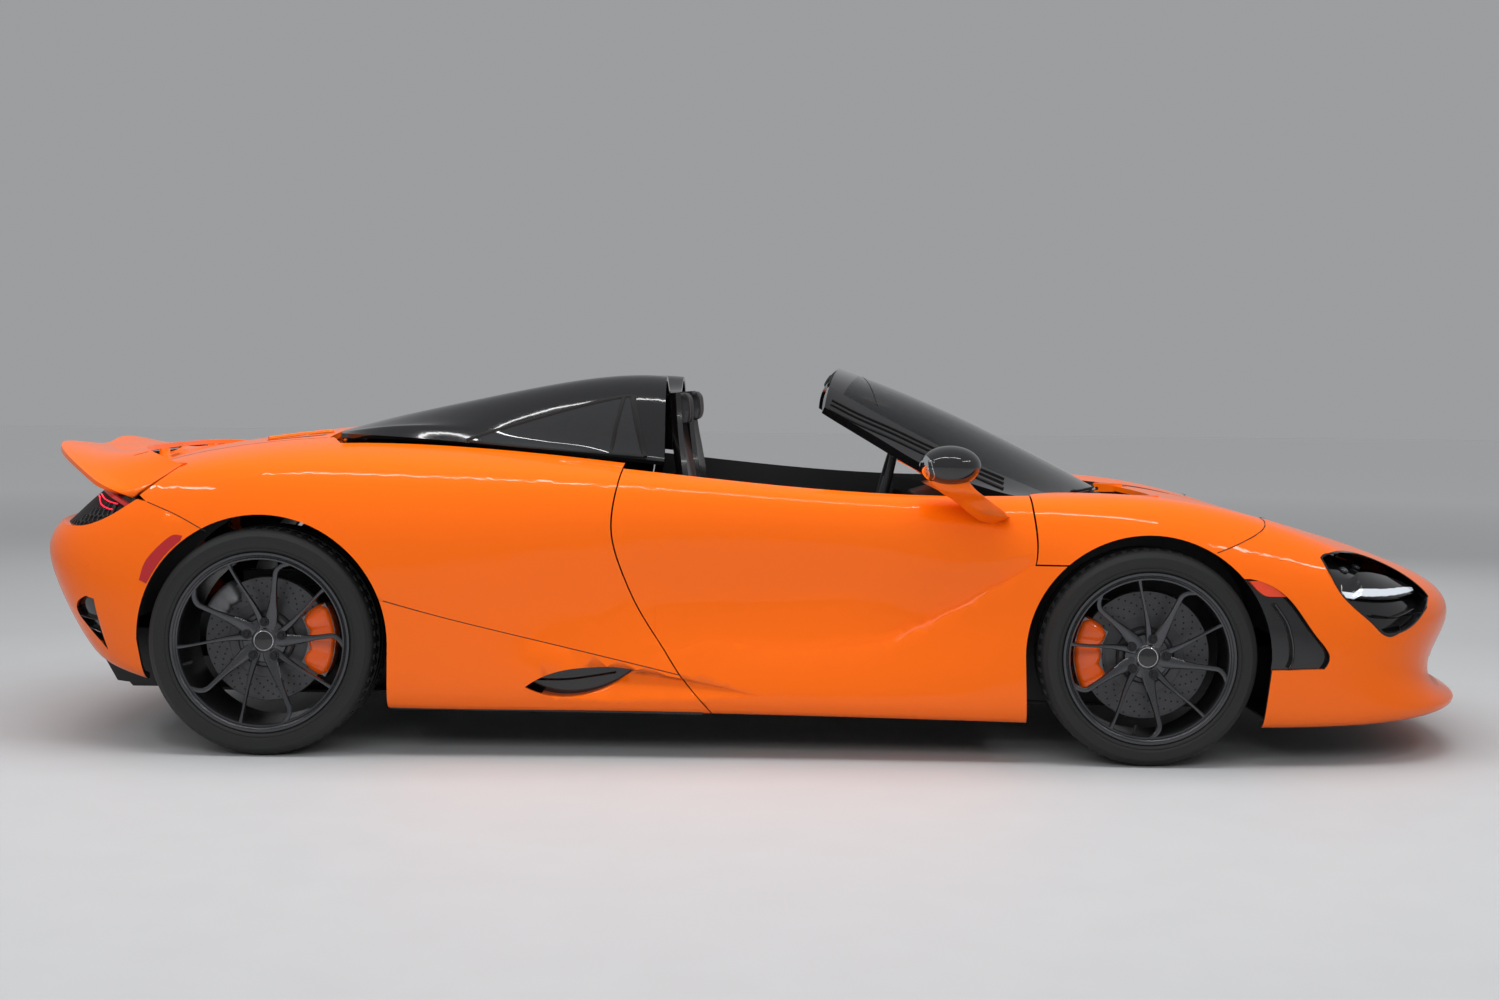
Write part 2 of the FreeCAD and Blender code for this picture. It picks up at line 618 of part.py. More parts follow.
side_panel = max(side_panel.Solids, key=lambda piece: piece.Volume)
export(pair(side_panel), "side_panels")

quarter_outline = [shifted(LOWER_LINE, 0, SEAM), [(-100, 232), (-100, 1100)],
                   [(-2050, 1100), (-2050, 1000)], [(-2010, 905), (-1880, 775)],
                   list(reversed(BUMPER_REAR_LINE[:-1])), [(-1640, 500), (-1160, 480)]]
quarter = rear_part.common(side_prism(quarter_outline, 300, 1100)).cut(TOP_ROOM)
for rise in (4.0, 8.0, 12.0):
    quarter = quarter.cut(WING_SPACE.translated(WING_LIFT * rise))
quarter = clear_of_wing(quarter)
export(pair(quarter), "rear_quarters")

bumper_rear_outline = [shifted(BUMPER_REAR_LINE[:-1], -SEAM, -SEAM),
                       [(-1851 - SEAM, 754 - SEAM), (-1885, 759)],
                       list(reversed(LAMP_LINE[:-1])), [(-2400, 60), (-1640, 60)]]
rear_bumper_half = rear_part.common(side_prism(bumper_rear_outline, -10, 1100))
VENT_OUTLINE = [[(-2045, 462), (-2015, 455)], [(-2015, 455), (-1997, 372), (-1975, 298)],
                [(-1975, 298), (-2068, 387)], [(-2068, 387), (-2087, 424), (-2045, 462)]]
rear_bumper_half = rear_bumper_half.cut(side_prism(VENT_OUTLINE, 600, 1100))
rear_bumper = across(rear_bumper_half)
export(rear_bumper, "rear_bumper")

# Black mesh panel between the bumper and the wing, set inside the skin
MESH_DEPTH = SKIN + SEAM
MESH_THICKNESS = 8.0
MESH_SKIN = closed_skin(inward(POLES, MESH_DEPTH), inward(POLES, MESH_DEPTH + MESH_THICKNESS))
mesh_outline = [shifted(LAMP_LINE, 0, -14), [(-1885, 745), (-1985, 850)], [(-2400, 850), (-2400, 658)]]
mesh_half = MESH_SKIN.common(side_prism(mesh_outline, -10, 1100))
mesh_half = clear_of_wing(mesh_half)
mesh_half = mesh_half.cut(box(fx(-2066), fx(-1940), WING_POST_Y - 28, WING_POST_Y + 28, fz(740), 1300))
STRIP_LINE = [(-2080, 800), (-1990, 775), (-1912, 744)]
STRIP_HEIGHT = 11.0
strip = [STRIP_LINE, list(reversed(shifted(STRIP_LINE, 0, -STRIP_HEIGHT)))]
lamp_half = SKIN_LEFT.common(side_prism(strip, 560, 1100)).cut(rear_bumper)
lamp_half = clear_of_wing(lamp_half)
EXHAUST_RADIUS = 50.0
EXHAUST_WALL = 5.0
EXHAUST_Y = 92.0
EXHAUST_Z = fz(738)
exhaust = Part.makeCylinder(EXHAUST_RADIUS, 74, V(fx(-2204), EXHAUST_Y, EXHAUST_Z), V(1, 0, 0))
bore_radius = EXHAUST_RADIUS - EXHAUST_WALL
pipe_bore = Part.makeCylinder(bore_radius, 69, V(fx(-2204) - 1, EXHAUST_Y, EXHAUST_Z), V(1, 0, 0))
mesh_half = mesh_half.fuse(exhaust).cut(pipe_bore).removeSplitter()
tail_mesh = across(mesh_half)
export(tail_mesh, "tail_mesh")


# Black linings behind the openings: arch ducts, lower grille, side intakes and corner vents
def grown(runs, amount):
    points = [p for run in runs for p in run]
    cx = sum(p[0] for p in points) / len(points)
    cz = sum(p[1] for p in points) / len(points)
    bigger = []
    for run in runs:
        line = []
        for x, z in run:
            reach = math.hypot(x - cx, z - cz)
            line.append((x + (x - cx) / reach * amount, z + (z - cz) / reach * amount))
        bigger.append(line)
    return bigger


LINING_LAP = 9.0
duct_lining = MESH_SKIN.common(side_prism(grown(DUCT_OUTLINE, LINING_LAP), 600, 1100)).cut(FRONT_ARCH)
vent_lining = MESH_SKIN.common(side_prism(grown(VENT_OUTLINE, LINING_LAP), 600, 1100))
grille = MESH_SKIN.common(top_prism([[(1900, -10), (1900, 600 + LINING_LAP)],
                                     [(2400, 600 + LINING_LAP), (2400, -10)]],
                                    205 - LINING_LAP, 300 + LINING_LAP))
INTAKE_LINING = 8.0
INTAKE_LINING_Y = SILL_CORE_Y - SEAM
intake_lining = box(fx(-705), fx(-350), INTAKE_LINING_Y - INTAKE_LINING, INTAKE_LINING_Y, fz(168), fz(285))

# Rear deck between the quarters
deck_half = SKIN_LEFT.common(top_prism([[(-1985, -10), (-1985, DECK_EDGE - SEAM)],
                                        [(-1345, DECK_EDGE - SEAM), (-1345, -10)]], 300, 1300))
deck_half = deck_half.common(box(-3000, 0, -10, 1100, 800, 1300)).cut(wing_room(0))
COVER_HINGE_X = fx(-1318)
COVER_HINGE_Z = fz(934)
cover_lug = box(COVER_HINGE_X - 100, COVER_HINGE_X + 12, 470, 490, COVER_HINGE_Z - 12, fz(939))
cover_pin = bore_y(COVER_HINGE_X, COVER_HINGE_Z, HINGE_PIN, 480, 512)
WING_SLEEVE = 20.0
wing_sleeve = box(WING_POST_X - WING_SLEEVE - 10, fx(-1946), WING_POST_Y - WING_SLEEVE,
                  WING_POST_Y + WING_SLEEVE, fz(785), fz(860))
wing_riser = box(fx(-1970), fx(-1946), WING_POST_Y - WING_SLEEVE, WING_POST_Y + WING_SLEEVE, fz(850), fz(896))
wing_bore = Part.makeCylinder(WING_POST_RADIUS + PIN_GAP, 200, wing_post_low - WING_LIFT * 60, WING_LIFT)
deck_half = clear_of_wing(deck_half)
deck_half = deck_half.fuse([cover_lug, cover_pin, wing_sleeve, wing_riser]).cut(wing_bore)
export(across(deck_half), "rear_deck")


# Windscreen: black pillars and header round a curved pane
screen_rows = [[(1150, 0, 775), (1095, 330, 777), (960, 600, 782), (800, 775, 790)],
               [(879, 0, 916), (845, 320, 912), (720, 560, 888), (560, 700, 862)],
               [(560, 0, 1066), (535, 310, 1058), (450, 520, 1018), (380, 648, 960)],
               [(262, 0, 1180), (250, 300, 1170), (228, 500, 1132), (208, 618, 1056)]]
GLASS_EDGE = 0.10
PANE_GAP = 0.0004
GLASS_TOP = 0.93
screen = full_width(screen_rows)
glass = panel(screen, GLASS, 0.03, GLASS_TOP - PANE_GAP, GLASS_EDGE + PANE_GAP, 1 - GLASS_EDGE - PANE_GAP,
              steps_v=15)
export(glass, "windscreen_glass")
pillar_right = panel(screen, FRAME_THICKNESS, 0.0, 1.0, 0.0, GLASS_EDGE)
pillar_left = panel(screen, FRAME_THICKNESS, 0.0, 1.0, 1 - GLASS_EDGE, 1.0)
header = panel(screen, FRAME_THICKNESS, GLASS_TOP, 1.0, GLASS_EDGE, 1 - GLASS_EDGE, steps_v=15)
frame = pillar_left.fuse([pillar_right, header]).removeSplitter()
export(frame, "windscreen_frame")

# Tonneau cover with a glazed buttress each side
tonneau_rows = [[(-292, 0, 1085), (-292, 220, 1088), (-291, 380, 1112), (-290, 500, 1148), (-289, 580, 1120),
                 (-288, 650, 1010), (-288, 705, 884)],
                [(-480, 0, 1070), (-480, 220, 1073), (-465, 380, 1102), (-450, 500, 1148), (-440, 582, 1122),
                 (-435, 652, 1015), (-430, 708, 897)],
                [(-700, 0, 1040), (-700, 220, 1042), (-685, 380, 1068), (-670, 505, 1116), (-660, 585, 1094),
                 (-655, 655, 1010), (-650, 712, 916)],
                [(-1000, 0, 1000), (-1000, 220, 1001), (-970, 380, 1018), (-940, 510, 1060), (-920, 590, 1045),
                 (-910, 660, 1000), (-900, 714, 938)],
                [(-1310, 0, 968), (-1310, 220, 968), (-1308, 380, 969), (-1304, 510, 971), (-1300, 590, 970),
                 (-1295, 655, 967), (-1290, 706, 962)]]
TONNEAU_THICKNESS = 14.0
cover = panel(full_width(tonneau_rows), TONNEAU_THICKNESS, steps_u=11, steps_v=25)
cover_arm = box(COVER_HINGE_X - 9, COVER_HINGE_X + 70, 492, 508, COVER_HINGE_Z - 12, COVER_HINGE_Z + 10)
cover_arm = cover_arm.fuse(box(COVER_HINGE_X + 4, COVER_HINGE_X + 70, 492, 508, COVER_HINGE_Z, fz(964)))
cover_arm = cover_arm.cut(bore_y(COVER_HINGE_X, COVER_HINGE_Z, HINGE_PIN + PIN_GAP, 400, 600))
export(cover.fuse([cover_arm, mirrored(cover_arm)]).removeSplitter(), "tonneau_cover")

# Underfloor tray: follows the lower edge of the body, open at the wheels
TRAY_LINE = [(2150, 126), (1760, 116), (1470, 114), (1183.5, 114), (880, 118), (540, 124), (130, 131),
             (-290, 136), (-720, 139), (-1120, 141), (-1486.5, 139), (-1900, 150)]


def tray_z(x):
    for (xa, za), (xb, zb) in zip(TRAY_LINE, TRAY_LINE[1:]):
        if x <= xa and x >= xb:
            return za + (zb - za) * (xa - x) / (xa - xb)
    return TRAY_LINE[-1][1]


# A block whose underside lies on the tray, given its drawn ends, sides and real top height.
def on_tray(x0, x1, y0, y1, top, gap=0.0):
    stations = [x0] + [x for x, z in reversed(TRAY_LINE) if x > x0 and x < x1] + [x1]
    loop = [V(fx(x), y0, fz(tray_z(x)) + gap) for x in stations]
    loop = loop + [V(fx(x1), y0, top), V(fx(x0), y0, top)]
    return polygon(loop).extrude(V(0, y1 - y0, 0))


tray_outline = [[(2140, 0), (2125, 290), (2050, 600), (1900, 790), (1760, 868)], [(1760, 868), (1570, 893)],
                [(1570, 470), (790, 470)], [(790, 782), (-152, 782)], [(-152, 900), (-1098, 905)],
                [(-1098, 560), (-1900, 560)], [(-1900, 560), (-1900, 0)]]
loop = [V(fx(x), -1100, fz(z)) for x, z in TRAY_LINE]
loop = loop + [V(fx(x), -1100, fz(z) - UNDERFLOOR_THICKNESS) for x, z in reversed(TRAY_LINE)]
tray = polygon(loop).extrude(V(0, 2200, 0))
tray = tray.common(across(top_prism(tray_outline, 50, 300)))
tray = tray.cut([front_bumper, side_panel, mirrored(side_panel)])
tray = max(tray.Solids, key=lambda piece: piece.Volume)
PAD_X = [-560.0, 600.0]
PAD_Y = 700.0
PAD_Z = 114.0
pads = []
for x in PAD_X:
    for side in (-1, 1):
        pads.append(box(fx(x) - 45, fx(x) + 45, side * PAD_Y - 30, side * PAD_Y + 30, PAD_Z, fz(tray_z(x)) - 3))
tray = tray.fuse(pads).removeSplitter()
export(tray, "underfloor")

# Diffuser: closes the tail under the bumper, with fins
diffuser_side = [(-1900 - SEAM, 142), (-2045, 160), (-2088, 236), (-2088, 330), (-1900 - SEAM, 330)]
diffuser = polygon([V(fx(x), -540, fz(z)) for x, z in diffuser_side]).extrude(V(0, 1080, 0))
diffuser = diffuser.cut(box(fx(-2075), fx(-1915), -530, 530, fz(176), fz(320)))
diffuser = diffuser.cut(rear_bumper)
diffuser = max(diffuser.Solids, key=lambda piece: piece.Volume)
for y in (-390, -130, 130, 390):
    fin = polygon([V(fx(-1905), y - 4, fz(143)), V(fx(-2045), y - 4, fz(161)), V(fx(-2084), y - 4, fz(230)),
                   V(fx(-2080), y - 4, fz(170)), V(fx(-2040), y - 4, fz(122)), V(fx(-1905), y - 4, fz(122))])
    diffuser = diffuser.fuse(fin.extrude(V(0, 8, 0)))
export(diffuser.removeSplitter(), "diffuser")

# Tub: floor, sills, bulkheads, luggage bay and the beams that carry the axles
TUB_REAR = -640
TUB_FRONT = 760
BAY_FRONT = 1560
TUB_REAR_X = fx(TUB_REAR)
TUB_FRONT_X = fx(TUB_FRONT)
BAY_FRONT_X = fx(BAY_FRONT)
BEAM_INNER = 385.0
BEAM_OUTER = 450.0
BEAM_TOP = fz(230)
SILL_WIDTH = 150.0
TOW_Y = 285.0
TOW_Z = fz(250)
TOW_RADIUS = 8.0
TOW_DEPTH = 50.0
tub = on_tray(TUB_REAR, TUB_FRONT, -TUB_HALF_WIDTH, TUB_HALF_WIDTH, SILL_TOP, SEAM)
rear_wall = box(TUB_REAR_X, TUB_REAR_X + TUB_WALL, -660, 660, fz(200), fz(850))
front_wall = box(TUB_FRONT_X - TUB_WALL, TUB_FRONT_X, -TUB_HALF_WIDTH, TUB_HALF_WIDTH, fz(200), fz(740))
tub = tub.fuse([rear_wall, front_wall])
room = on_tray(TUB_REAR + 42, TUB_FRONT - 42, -TUB_HALF_WIDTH + SILL_WIDTH, TUB_HALF_WIDTH - SILL_WIDTH,
               2000, SEAM + FLOOR_THICKNESS)
tub = tub.cut(room)
bay = on_tray(TUB_FRONT, BAY_FRONT, -NOSE_HALF_WIDTH, NOSE_HALF_WIDTH, fz(660), SEAM)
bay = bay.cut(box(TUB_FRONT_X + 330, BAY_FRONT_X - 25, -NOSE_HALF_WIDTH + 25, NOSE_HALF_WIDTH - 25, fz(230), 900))
bay = bay.cut(box(TUB_FRONT_X + 10, TUB_FRONT_X + 305, -NOSE_HALF_WIDTH + 25, NOSE_HALF_WIDTH - 25, fz(160), 900))
parts_of_tub = [bay]
for side in (-1, 1):
    parts_of_tub.append(on_tray(BAY_FRONT, 2050, side * TOW_Y - 35, side * TOW_Y + 35, TOW_Z + 35, SEAM))
    rail = side * (BEAM_INNER + BEAM_OUTER) / 2
    parts_of_tub.append(on_tray(-1890, TUB_REAR, rail - 32.5, rail + 32.5, BEAM_TOP, SEAM))
    parts_of_tub.append(box(REAR_AXLE_X - 175, REAR_AXLE_X + 175, rail - 32.5, rail + 32.5, BEAM_TOP, fz(510)))
    parts_of_tub.append(box(fx(700), fx(850), side * 745 - 35, side * 745 + 35, fz(690), fz(772)))
    arm_y = BONNET_LUG_Y + LUG
    post = box(BONNET_HINGE_X - 16, BONNET_HINGE_X + 16, side * (arm_y + 22), side * (arm_y + 38), fz(600),
               BONNET_HINGE_Z + 12)
    pin = bore_y(BONNET_HINGE_X, BONNET_HINGE_Z, HINGE_PIN, BONNET_LUG_Y + 2, arm_y + 30)
    parts_of_tub.append(post)
    parts_of_tub.append(pin if side > 0 else mirrored(pin))
for x in (REAR_AXLE_X + 140, REAR_AXLE_X + 660):
    parts_of_tub.append(box(x, x + 60, -BEAM_OUTER, BEAM_OUTER, BEAM_TOP - 60, BEAM_TOP))
tub = tub.fuse(parts_of_tub).removeSplitter()
eye_gap = box(fx(2050), fx(2400), -TOW_Y - TOW_RADIUS - 12, -TOW_Y + TOW_RADIUS + 12, fz(100), fz(400))
lower_grille = across(grille).cut(eye_gap)
linings = [lower_grille]
for half in (duct_lining, vent_lining, intake_lining):
    linings += [half, mirrored(half)]
export(Part.makeCompound([solid for piece in linings for solid in piece.Solids]), "duct_linings")
tow_socket = Part.makeCylinder(TOW_RADIUS, TOW_DEPTH + 1, V(fx(2050) - TOW_DEPTH, -TOW_Y, TOW_Z), V(1, 0, 0))
tub = tub.cut([frame, glass, tow_socket])
tub = max(tub.Solids, key=lambda piece: piece.Volume)
export(tub, "tub")

engine = box(REAR_AXLE_X + 120, REAR_AXLE_X + 120 + ENGINE_LENGTH, -ENGINE_WIDTH / 2, ENGINE_WIDTH / 2,
             BEAM_TOP + SEAM, BEAM_TOP + SEAM + ENGINE_HEIGHT)
export(engine, "engine_block")

# Rubber seals along the door openings
SEAL_GAP = 0.4
seal = box(fx(-240), fx(770), TUB_HALF_WIDTH, DOOR_INNER_Y - SEAL_GAP, SILL_TOP - 30, SILL_TOP - 6)
export(pair(seal), "door_seals")

# Cowl: black panel below the glass and behind the bonnet
COWL_DROP = 34.0
COWL_THICKNESS = 8.0
cowl_outline = [[(1080, -10), (1080, 470)], [(1080, 470), (1175, 470)], [(1175, 470), (1310, 250), (1338, -10)]]
COWL_SKIN = closed_skin(inward(POLES, COWL_DROP), inward(POLES, COWL_DROP + COWL_THICKNESS))
cowl = across(COWL_SKIN.common(top_prism(cowl_outline, 300, 1300)))
cowl = cowl.cut(tub)
cowl = max(cowl.Solids, key=lambda piece: piece.Volume)
export(cowl, "cowl")


FLOOR_BASE = fz(tray_z(-560)) + SEAM + FLOOR_THICKNESS + SEAM


HEADREST_WIDTH = 290.0


def seat(side):
    y0 = side * SEAT_Y - SEAT_WIDTH / 2
    base = FLOOR_BASE - 1.0
    back = [V(-430, y0, base), V(-120, y0, base), V(270, y0, base + 60), V(285, y0, base + 190),
            V(-90, y0, base + 175), V(-155, y0, fz(820)), V(-190, y0, fz(1040)), V(-208, y0, fz(1088)),
            V(-262, y0, fz(1094)), V(-281, y0, fz(1075)), V(-284, y0, fz(930)), V(-330, y0, fz(780)),
            V(-420, y0, base + 240)]
    side_view = polygon(back).extrude(V(0, SEAT_WIDTH, 0))
    half = SEAT_WIDTH / 2
    right_edge = [(half, base - 5), (half, fz(790)), (half - 18, fz(850)), (HEADREST_WIDTH / 2 + 22, fz(925)),
                  (HEADREST_WIDTH / 2, fz(965)), (HEADREST_WIDTH / 2 - 8, fz(1070)), (HEADREST_WIDTH / 2 - 40, fz(1100))]
    front_view = right_edge + [(-y, z) for y, z in reversed(right_edge)]
    outline = polygon([V(-600, side * SEAT_Y + y, z) for y, z in front_view])
    return side_view.common(outline.extrude(V(1000, 0, 0)))


export(pair(seat(1)), "seats")

# Steering wheel on its own column
WHEEL_CENTRE = V(fx(428), SEAT_Y, fz(742))
COLUMN_AXIS = V(0.9692, 0, -0.2462)
rim = Part.makeTorus(STEERING_WHEEL_RADIUS - 14, 14, WHEEL_CENTRE, COLUMN_AXIS)
hub = Part.makeCylinder(62, 40, WHEEL_CENTRE - COLUMN_AXIS * 10, COLUMN_AXIS)
column = Part.makeCylinder(24, 100, WHEEL_CENTRE + COLUMN_AXIS * 28, COLUMN_AXIS)
steering = rim.fuse(hub).fuse(column)
for angle in (0, 180, 270):
    spoke = box(20, STEERING_WHEEL_RADIUS - 14, -14, 14, -7, 7)
    spoke.rotate(V(0, 0, 0), V(0, 0, 1), angle)
    spoke.rotate(V(0, 0, 0), V(0, 1, 0), 90)
    spoke.rotate(V(0, 0, 0), V(0, 1, 0), math.degrees(math.asin(0.2462)))
    spoke.translate(WHEEL_CENTRE)
    steering = steering.fuse(spoke)
export(steering, "steering_wheel")

# Dashboard, with a hole for the column
dash_x = TUB_FRONT_X - TUB_WALL - SEAM
dash = polygon([V(dash_x, -760, fz(745)), V(dash_x, -760, fz(600)), V(fx(560), -760, fz(560)),
                V(fx(500), -760, fz(640)), V(fx(540), -760, fz(735)), V(fx(640), -760, fz(765))])
dash = dash.extrude(V(0, 1520, 0))
TUNNEL_HALF_WIDTH = 104.0
tunnel = polygon([V(fx(-380), -TUNNEL_HALF_WIDTH, FLOOR_BASE), V(fx(560), -TUNNEL_HALF_WIDTH, FLOOR_BASE),
                  V(fx(560), -TUNNEL_HALF_WIDTH, fz(620)), V(fx(500), -TUNNEL_HALF_WIDTH, fz(600)),
                  V(fx(400), -TUNNEL_HALF_WIDTH, fz(470)), V(fx(250), -TUNNEL_HALF_WIDTH, fz(420)),
                  V(fx(-340), -TUNNEL_HALF_WIDTH, fz(420)), V(fx(-380), -TUNNEL_HALF_WIDTH, fz(390))])
dash = dash.fuse(tunnel.extrude(V(0, 2 * TUNNEL_HALF_WIDTH, 0))).removeSplitter()
dash = dash.cut(Part.makeCylinder(24 + PIN_GAP, 101, WHEEL_CENTRE + COLUMN_AXIS * 28, COLUMN_AXIS))
dash = dash.cut([frame, tub])
export(dash, "dashboard")


# Wheels: tyre, rim with five pairs of spokes, and a vented disc behind them
def ring(profile, axle):
    points = [V(axle.x + r, axle.y + y, axle.z) for r, y in profile]
    return polygon(points).revolve(axle, V(0, 1, 0), 360)


def tyre(axle, side, radius, width, rim_radius):
    half = width / 2.0
    bead = rim_radius + SEAM
    outer = [(bead, half - 22), (bead + 20, half - 4), ((bead + radius) / 2, half), (radius - 26, half - 8),
             (radius - 7, half - 26), (radius, half - 60)]
    outer = outer + [(r, -y) for r, y in reversed(outer)]
    wall = TYRE_WALL
    inner = [(bead, -half + 40), (bead + 22, -half + 22), ((bead + radius) / 2, -half + wall),
             (radius - 34, -half + wall + 12), (radius - 22, -half + 70)]
    inner = inner + [(r, -y) for r, y in reversed(inner)]
    return ring(outer + inner, axle)


def wheel(axle, side, rim_radius, rim_width, spoke_start):
    half = rim_width / 2.0
    lip = side * half
    barrel = [(rim_radius - 12, lip), (rim_radius, lip), (rim_radius, -lip), (rim_radius - 10, -lip),
              (rim_radius - 10, lip - side * 60), (rim_radius - 22, lip - side * 30)]
    rim_solid = ring(barrel, axle)
    face_y = lip - side * 48
    centre = axle + V(0, face_y - side * 34, 0)
    boss = Part.makeCylinder(HUB_RADIUS, 34, centre, V(0, side, 0))
    rim_solid = rim_solid.fuse(boss)
    spokes = []
    for pair_index in range(5):
        for offset, thick in ((0.0, 15.0), (35.0, 11.0)):
            angle = math.radians(spoke_start + 72.0 * pair_index + offset)
            start = angle if offset == 0 else angle - math.radians(18)
            reach = rim_radius - 16
            a = V(axle.x + 48 * math.cos(start), 0, axle.z + 48 * math.sin(start))
            b = V(axle.x + reach * math.cos(angle), 0, axle.z + reach * math.sin(angle))
            along = b - a
            along.normalize()
            across_spoke = V(-along.z, 0, along.x)
            root_y = axle.y + face_y - side * 30
            tip_y = axle.y + lip - side * 30
            root = [a - across_spoke * thick * 1.1 + V(0, root_y, 0), a + across_spoke * thick * 1.1 + V(0, root_y, 0),
                    a + across_spoke * thick * 0.8 + V(0, root_y + side * 28, 0),
                    a - across_spoke * thick * 0.8 + V(0, root_y + side * 28, 0)]
            tip = [b - across_spoke * thick * 0.8 + V(0, tip_y, 0), b + across_spoke * thick * 0.8 + V(0, tip_y, 0),
                   b + across_spoke * thick * 0.6 + V(0, tip_y + side * 22, 0),
                   b - across_spoke * thick * 0.6 + V(0, tip_y + side * 22, 0)]
            wires = [Part.makePolygon(root + [root[0]]), Part.makePolygon(tip + [tip[0]])]
            spokes.append(Part.makeLoft(wires, True, True))
    rim_solid = rim_solid.fuse(spokes)
    bore = Part.makeCylinder(SPINDLE_RADIUS + PIN_GAP, 26, centre - V(0, side * 1, 0), V(0, side, 0))
    rim_solid = rim_solid.cut(bore)
    return rim_solid, centre


def disc(axle, side, centre, radius):
    hat = Part.makeCylinder(86, 46, centre - V(0, side * 46, 0), V(0, side, 0))
    inside = Part.makeCylinder(78, 38, centre - V(0, side * 46, 0), V(0, side, 0))
    top = Part.makeCylinder(SPINDLE_RADIUS + PIN_GAP, 60, centre - V(0, side * 50, 0), V(0, side, 0))
    rotor = Part.makeCylinder(radius, DISC_THICKNESS, centre - V(0, side * 58, 0), V(0, side, 0))
    rotor = rotor.cut(Part.makeCylinder(80, 80, centre - V(0, side * 78, 0), V(0, side, 0)))
    return rotor.fuse(hat.cut(inside)).cut(top).removeSplitter()


# Caliper: a block bent round the rim of the disc, clear of it all round
def caliper(axle, side, centre, radius, middle, span):
    outer = radius + RUNNING_GAP + 16
    inner = radius - 62
    disc_out = centre.y - side * (58 - DISC_THICKNESS)
    y_out = disc_out + side * (RUNNING_GAP + 12)
    y_in = disc_out - side * (DISC_THICKNESS + RUNNING_GAP + 26)
    profile = [(inner, y_out), (outer, y_out), (outer, y_in), (inner, y_in)]
    slot = [(inner - 5, disc_out + side * RUNNING_GAP), (radius + RUNNING_GAP, disc_out + side * RUNNING_GAP),
            (radius + RUNNING_GAP, disc_out - side * (DISC_THICKNESS + RUNNING_GAP)),
            (inner - 5, disc_out - side * (DISC_THICKNESS + RUNNING_GAP))]
    bodies = []
    for loop, start, turn in ((profile, middle - span / 2, span), (slot, middle - span / 2 - 2, span + 4)):
        face = polygon([V(axle.x + r, y, axle.z) for r, y in loop])
        solid = face.revolve(axle, V(0, 1, 0), turn)
        solid.rotate(axle, V(0, 1, 0), -start - turn)
        bodies.append(solid)
    return bodies[0].cut(bodies[1])


def corner(name, side, steered):
    x = FRONT_AXLE_X if steered else REAR_AXLE_X
    y = side * (FRONT_TRACK if steered else REAR_TRACK) / 2
    z = FRONT_AXLE_Z if steered else REAR_AXLE_Z
    radius = FRONT_TYRE_RADIUS if steered else REAR_TYRE_RADIUS
    width = FRONT_TYRE_WIDTH if steered else REAR_TYRE_WIDTH
    rim_radius = FRONT_RIM_RADIUS if steered else REAR_RIM_RADIUS
    disc_radius = FRONT_DISC_RADIUS if steered else REAR_DISC_RADIUS
    axle = V(x, y, z)
    export(tyre(axle, side, radius, width, rim_radius), "tyre_" + name)
    rim_solid, centre = wheel(axle, side, rim_radius, width - 14, 66.0 if steered else 78.0)
    export(rim_solid, "wheel_" + name)
    export(disc(axle, side, centre, disc_radius), "brake_disc_" + name)
    middle = 180.0 if steered else 0.0
    body = caliper(axle, side, centre, disc_radius, middle, 64.0)
    inner_y = centre.y - side * (58 + RUNNING_GAP)
    spindle = Part.makeCylinder(SPINDLE_RADIUS, abs(inner_y - centre.y) + 24, V(x, inner_y, z), V(0, side, 0))
    plate = Part.makeCylinder(70, 24, V(x, inner_y - side * 24, z), V(0, side, 0))
    knuckle = plate.fuse(spindle)
    reach = disc_radius - 40
    direction = -1 if steered else 1
    bracket = box(x, x + direction * reach, inner_y - side * 24, inner_y, z - 40, z + 40)
    knuckle = knuckle.fuse(bracket).fuse(body)
    pin_y = inner_y - side * 60
    lug = box(x - 30, x + 30, inner_y - side * 90, inner_y, z - 24, z + 24)
    for level in (z + 105, z - 105):
        arm_lug = box(x - 26, x + 26, inner_y - side * 88, inner_y, level - 14, level + 14)
        web = box(x - 26, x + 26, inner_y - side * 24, inner_y, min(level, z), max(level, z))
        knuckle = knuckle.fuse(arm_lug).fuse(web)
    bores = Part.makeCylinder(KINGPIN_RADIUS + PIN_GAP, 400, V(x, pin_y, z - 200), V(0, 0, 1))
    knuckle = knuckle.cut(bores).removeSplitter()
    if steered:
        export(knuckle, "upright_" + name)
    else:
        rear_uprights.append(knuckle)
    beam = NOSE_HALF_WIDTH if steered else 450.0
    arms = []
    for level, up in ((z + 105, 1), (z - 105, -1)):
        y_far = side * beam
        z_arm = level + up * (14 + PIN_GAP + 12)
        pin = Part.makeCylinder(KINGPIN_RADIUS, 28 + PIN_GAP + 12, V(x, pin_y, z_arm), V(0, 0, -up))
        eye = Part.makeCylinder(24, 24, V(x, pin_y, z_arm - 12), V(0, 0, 1))
        arm = pin.fuse(eye)
        for foot in (-150, 150):
            a = V(x, pin_y, z_arm)
            b = V(x + foot, y_far + side * SEAM, z_arm)
            run = b - a
            left = V(0, 0, 1).cross(run)
            left.normalize()
            loop = [a + left * 13, b + left * 13, b - left * 13, a - left * 13]
            face = polygon([V(p.x, p.y, z_arm - 11) for p in loop])
            arm = arm.fuse(face.extrude(V(0, 0, 22)))
        arms.append(arm.common(box(-4000, 4000, side * (beam + SEAM), side * 1000, 0, 2000)))
    return arms, pin_y


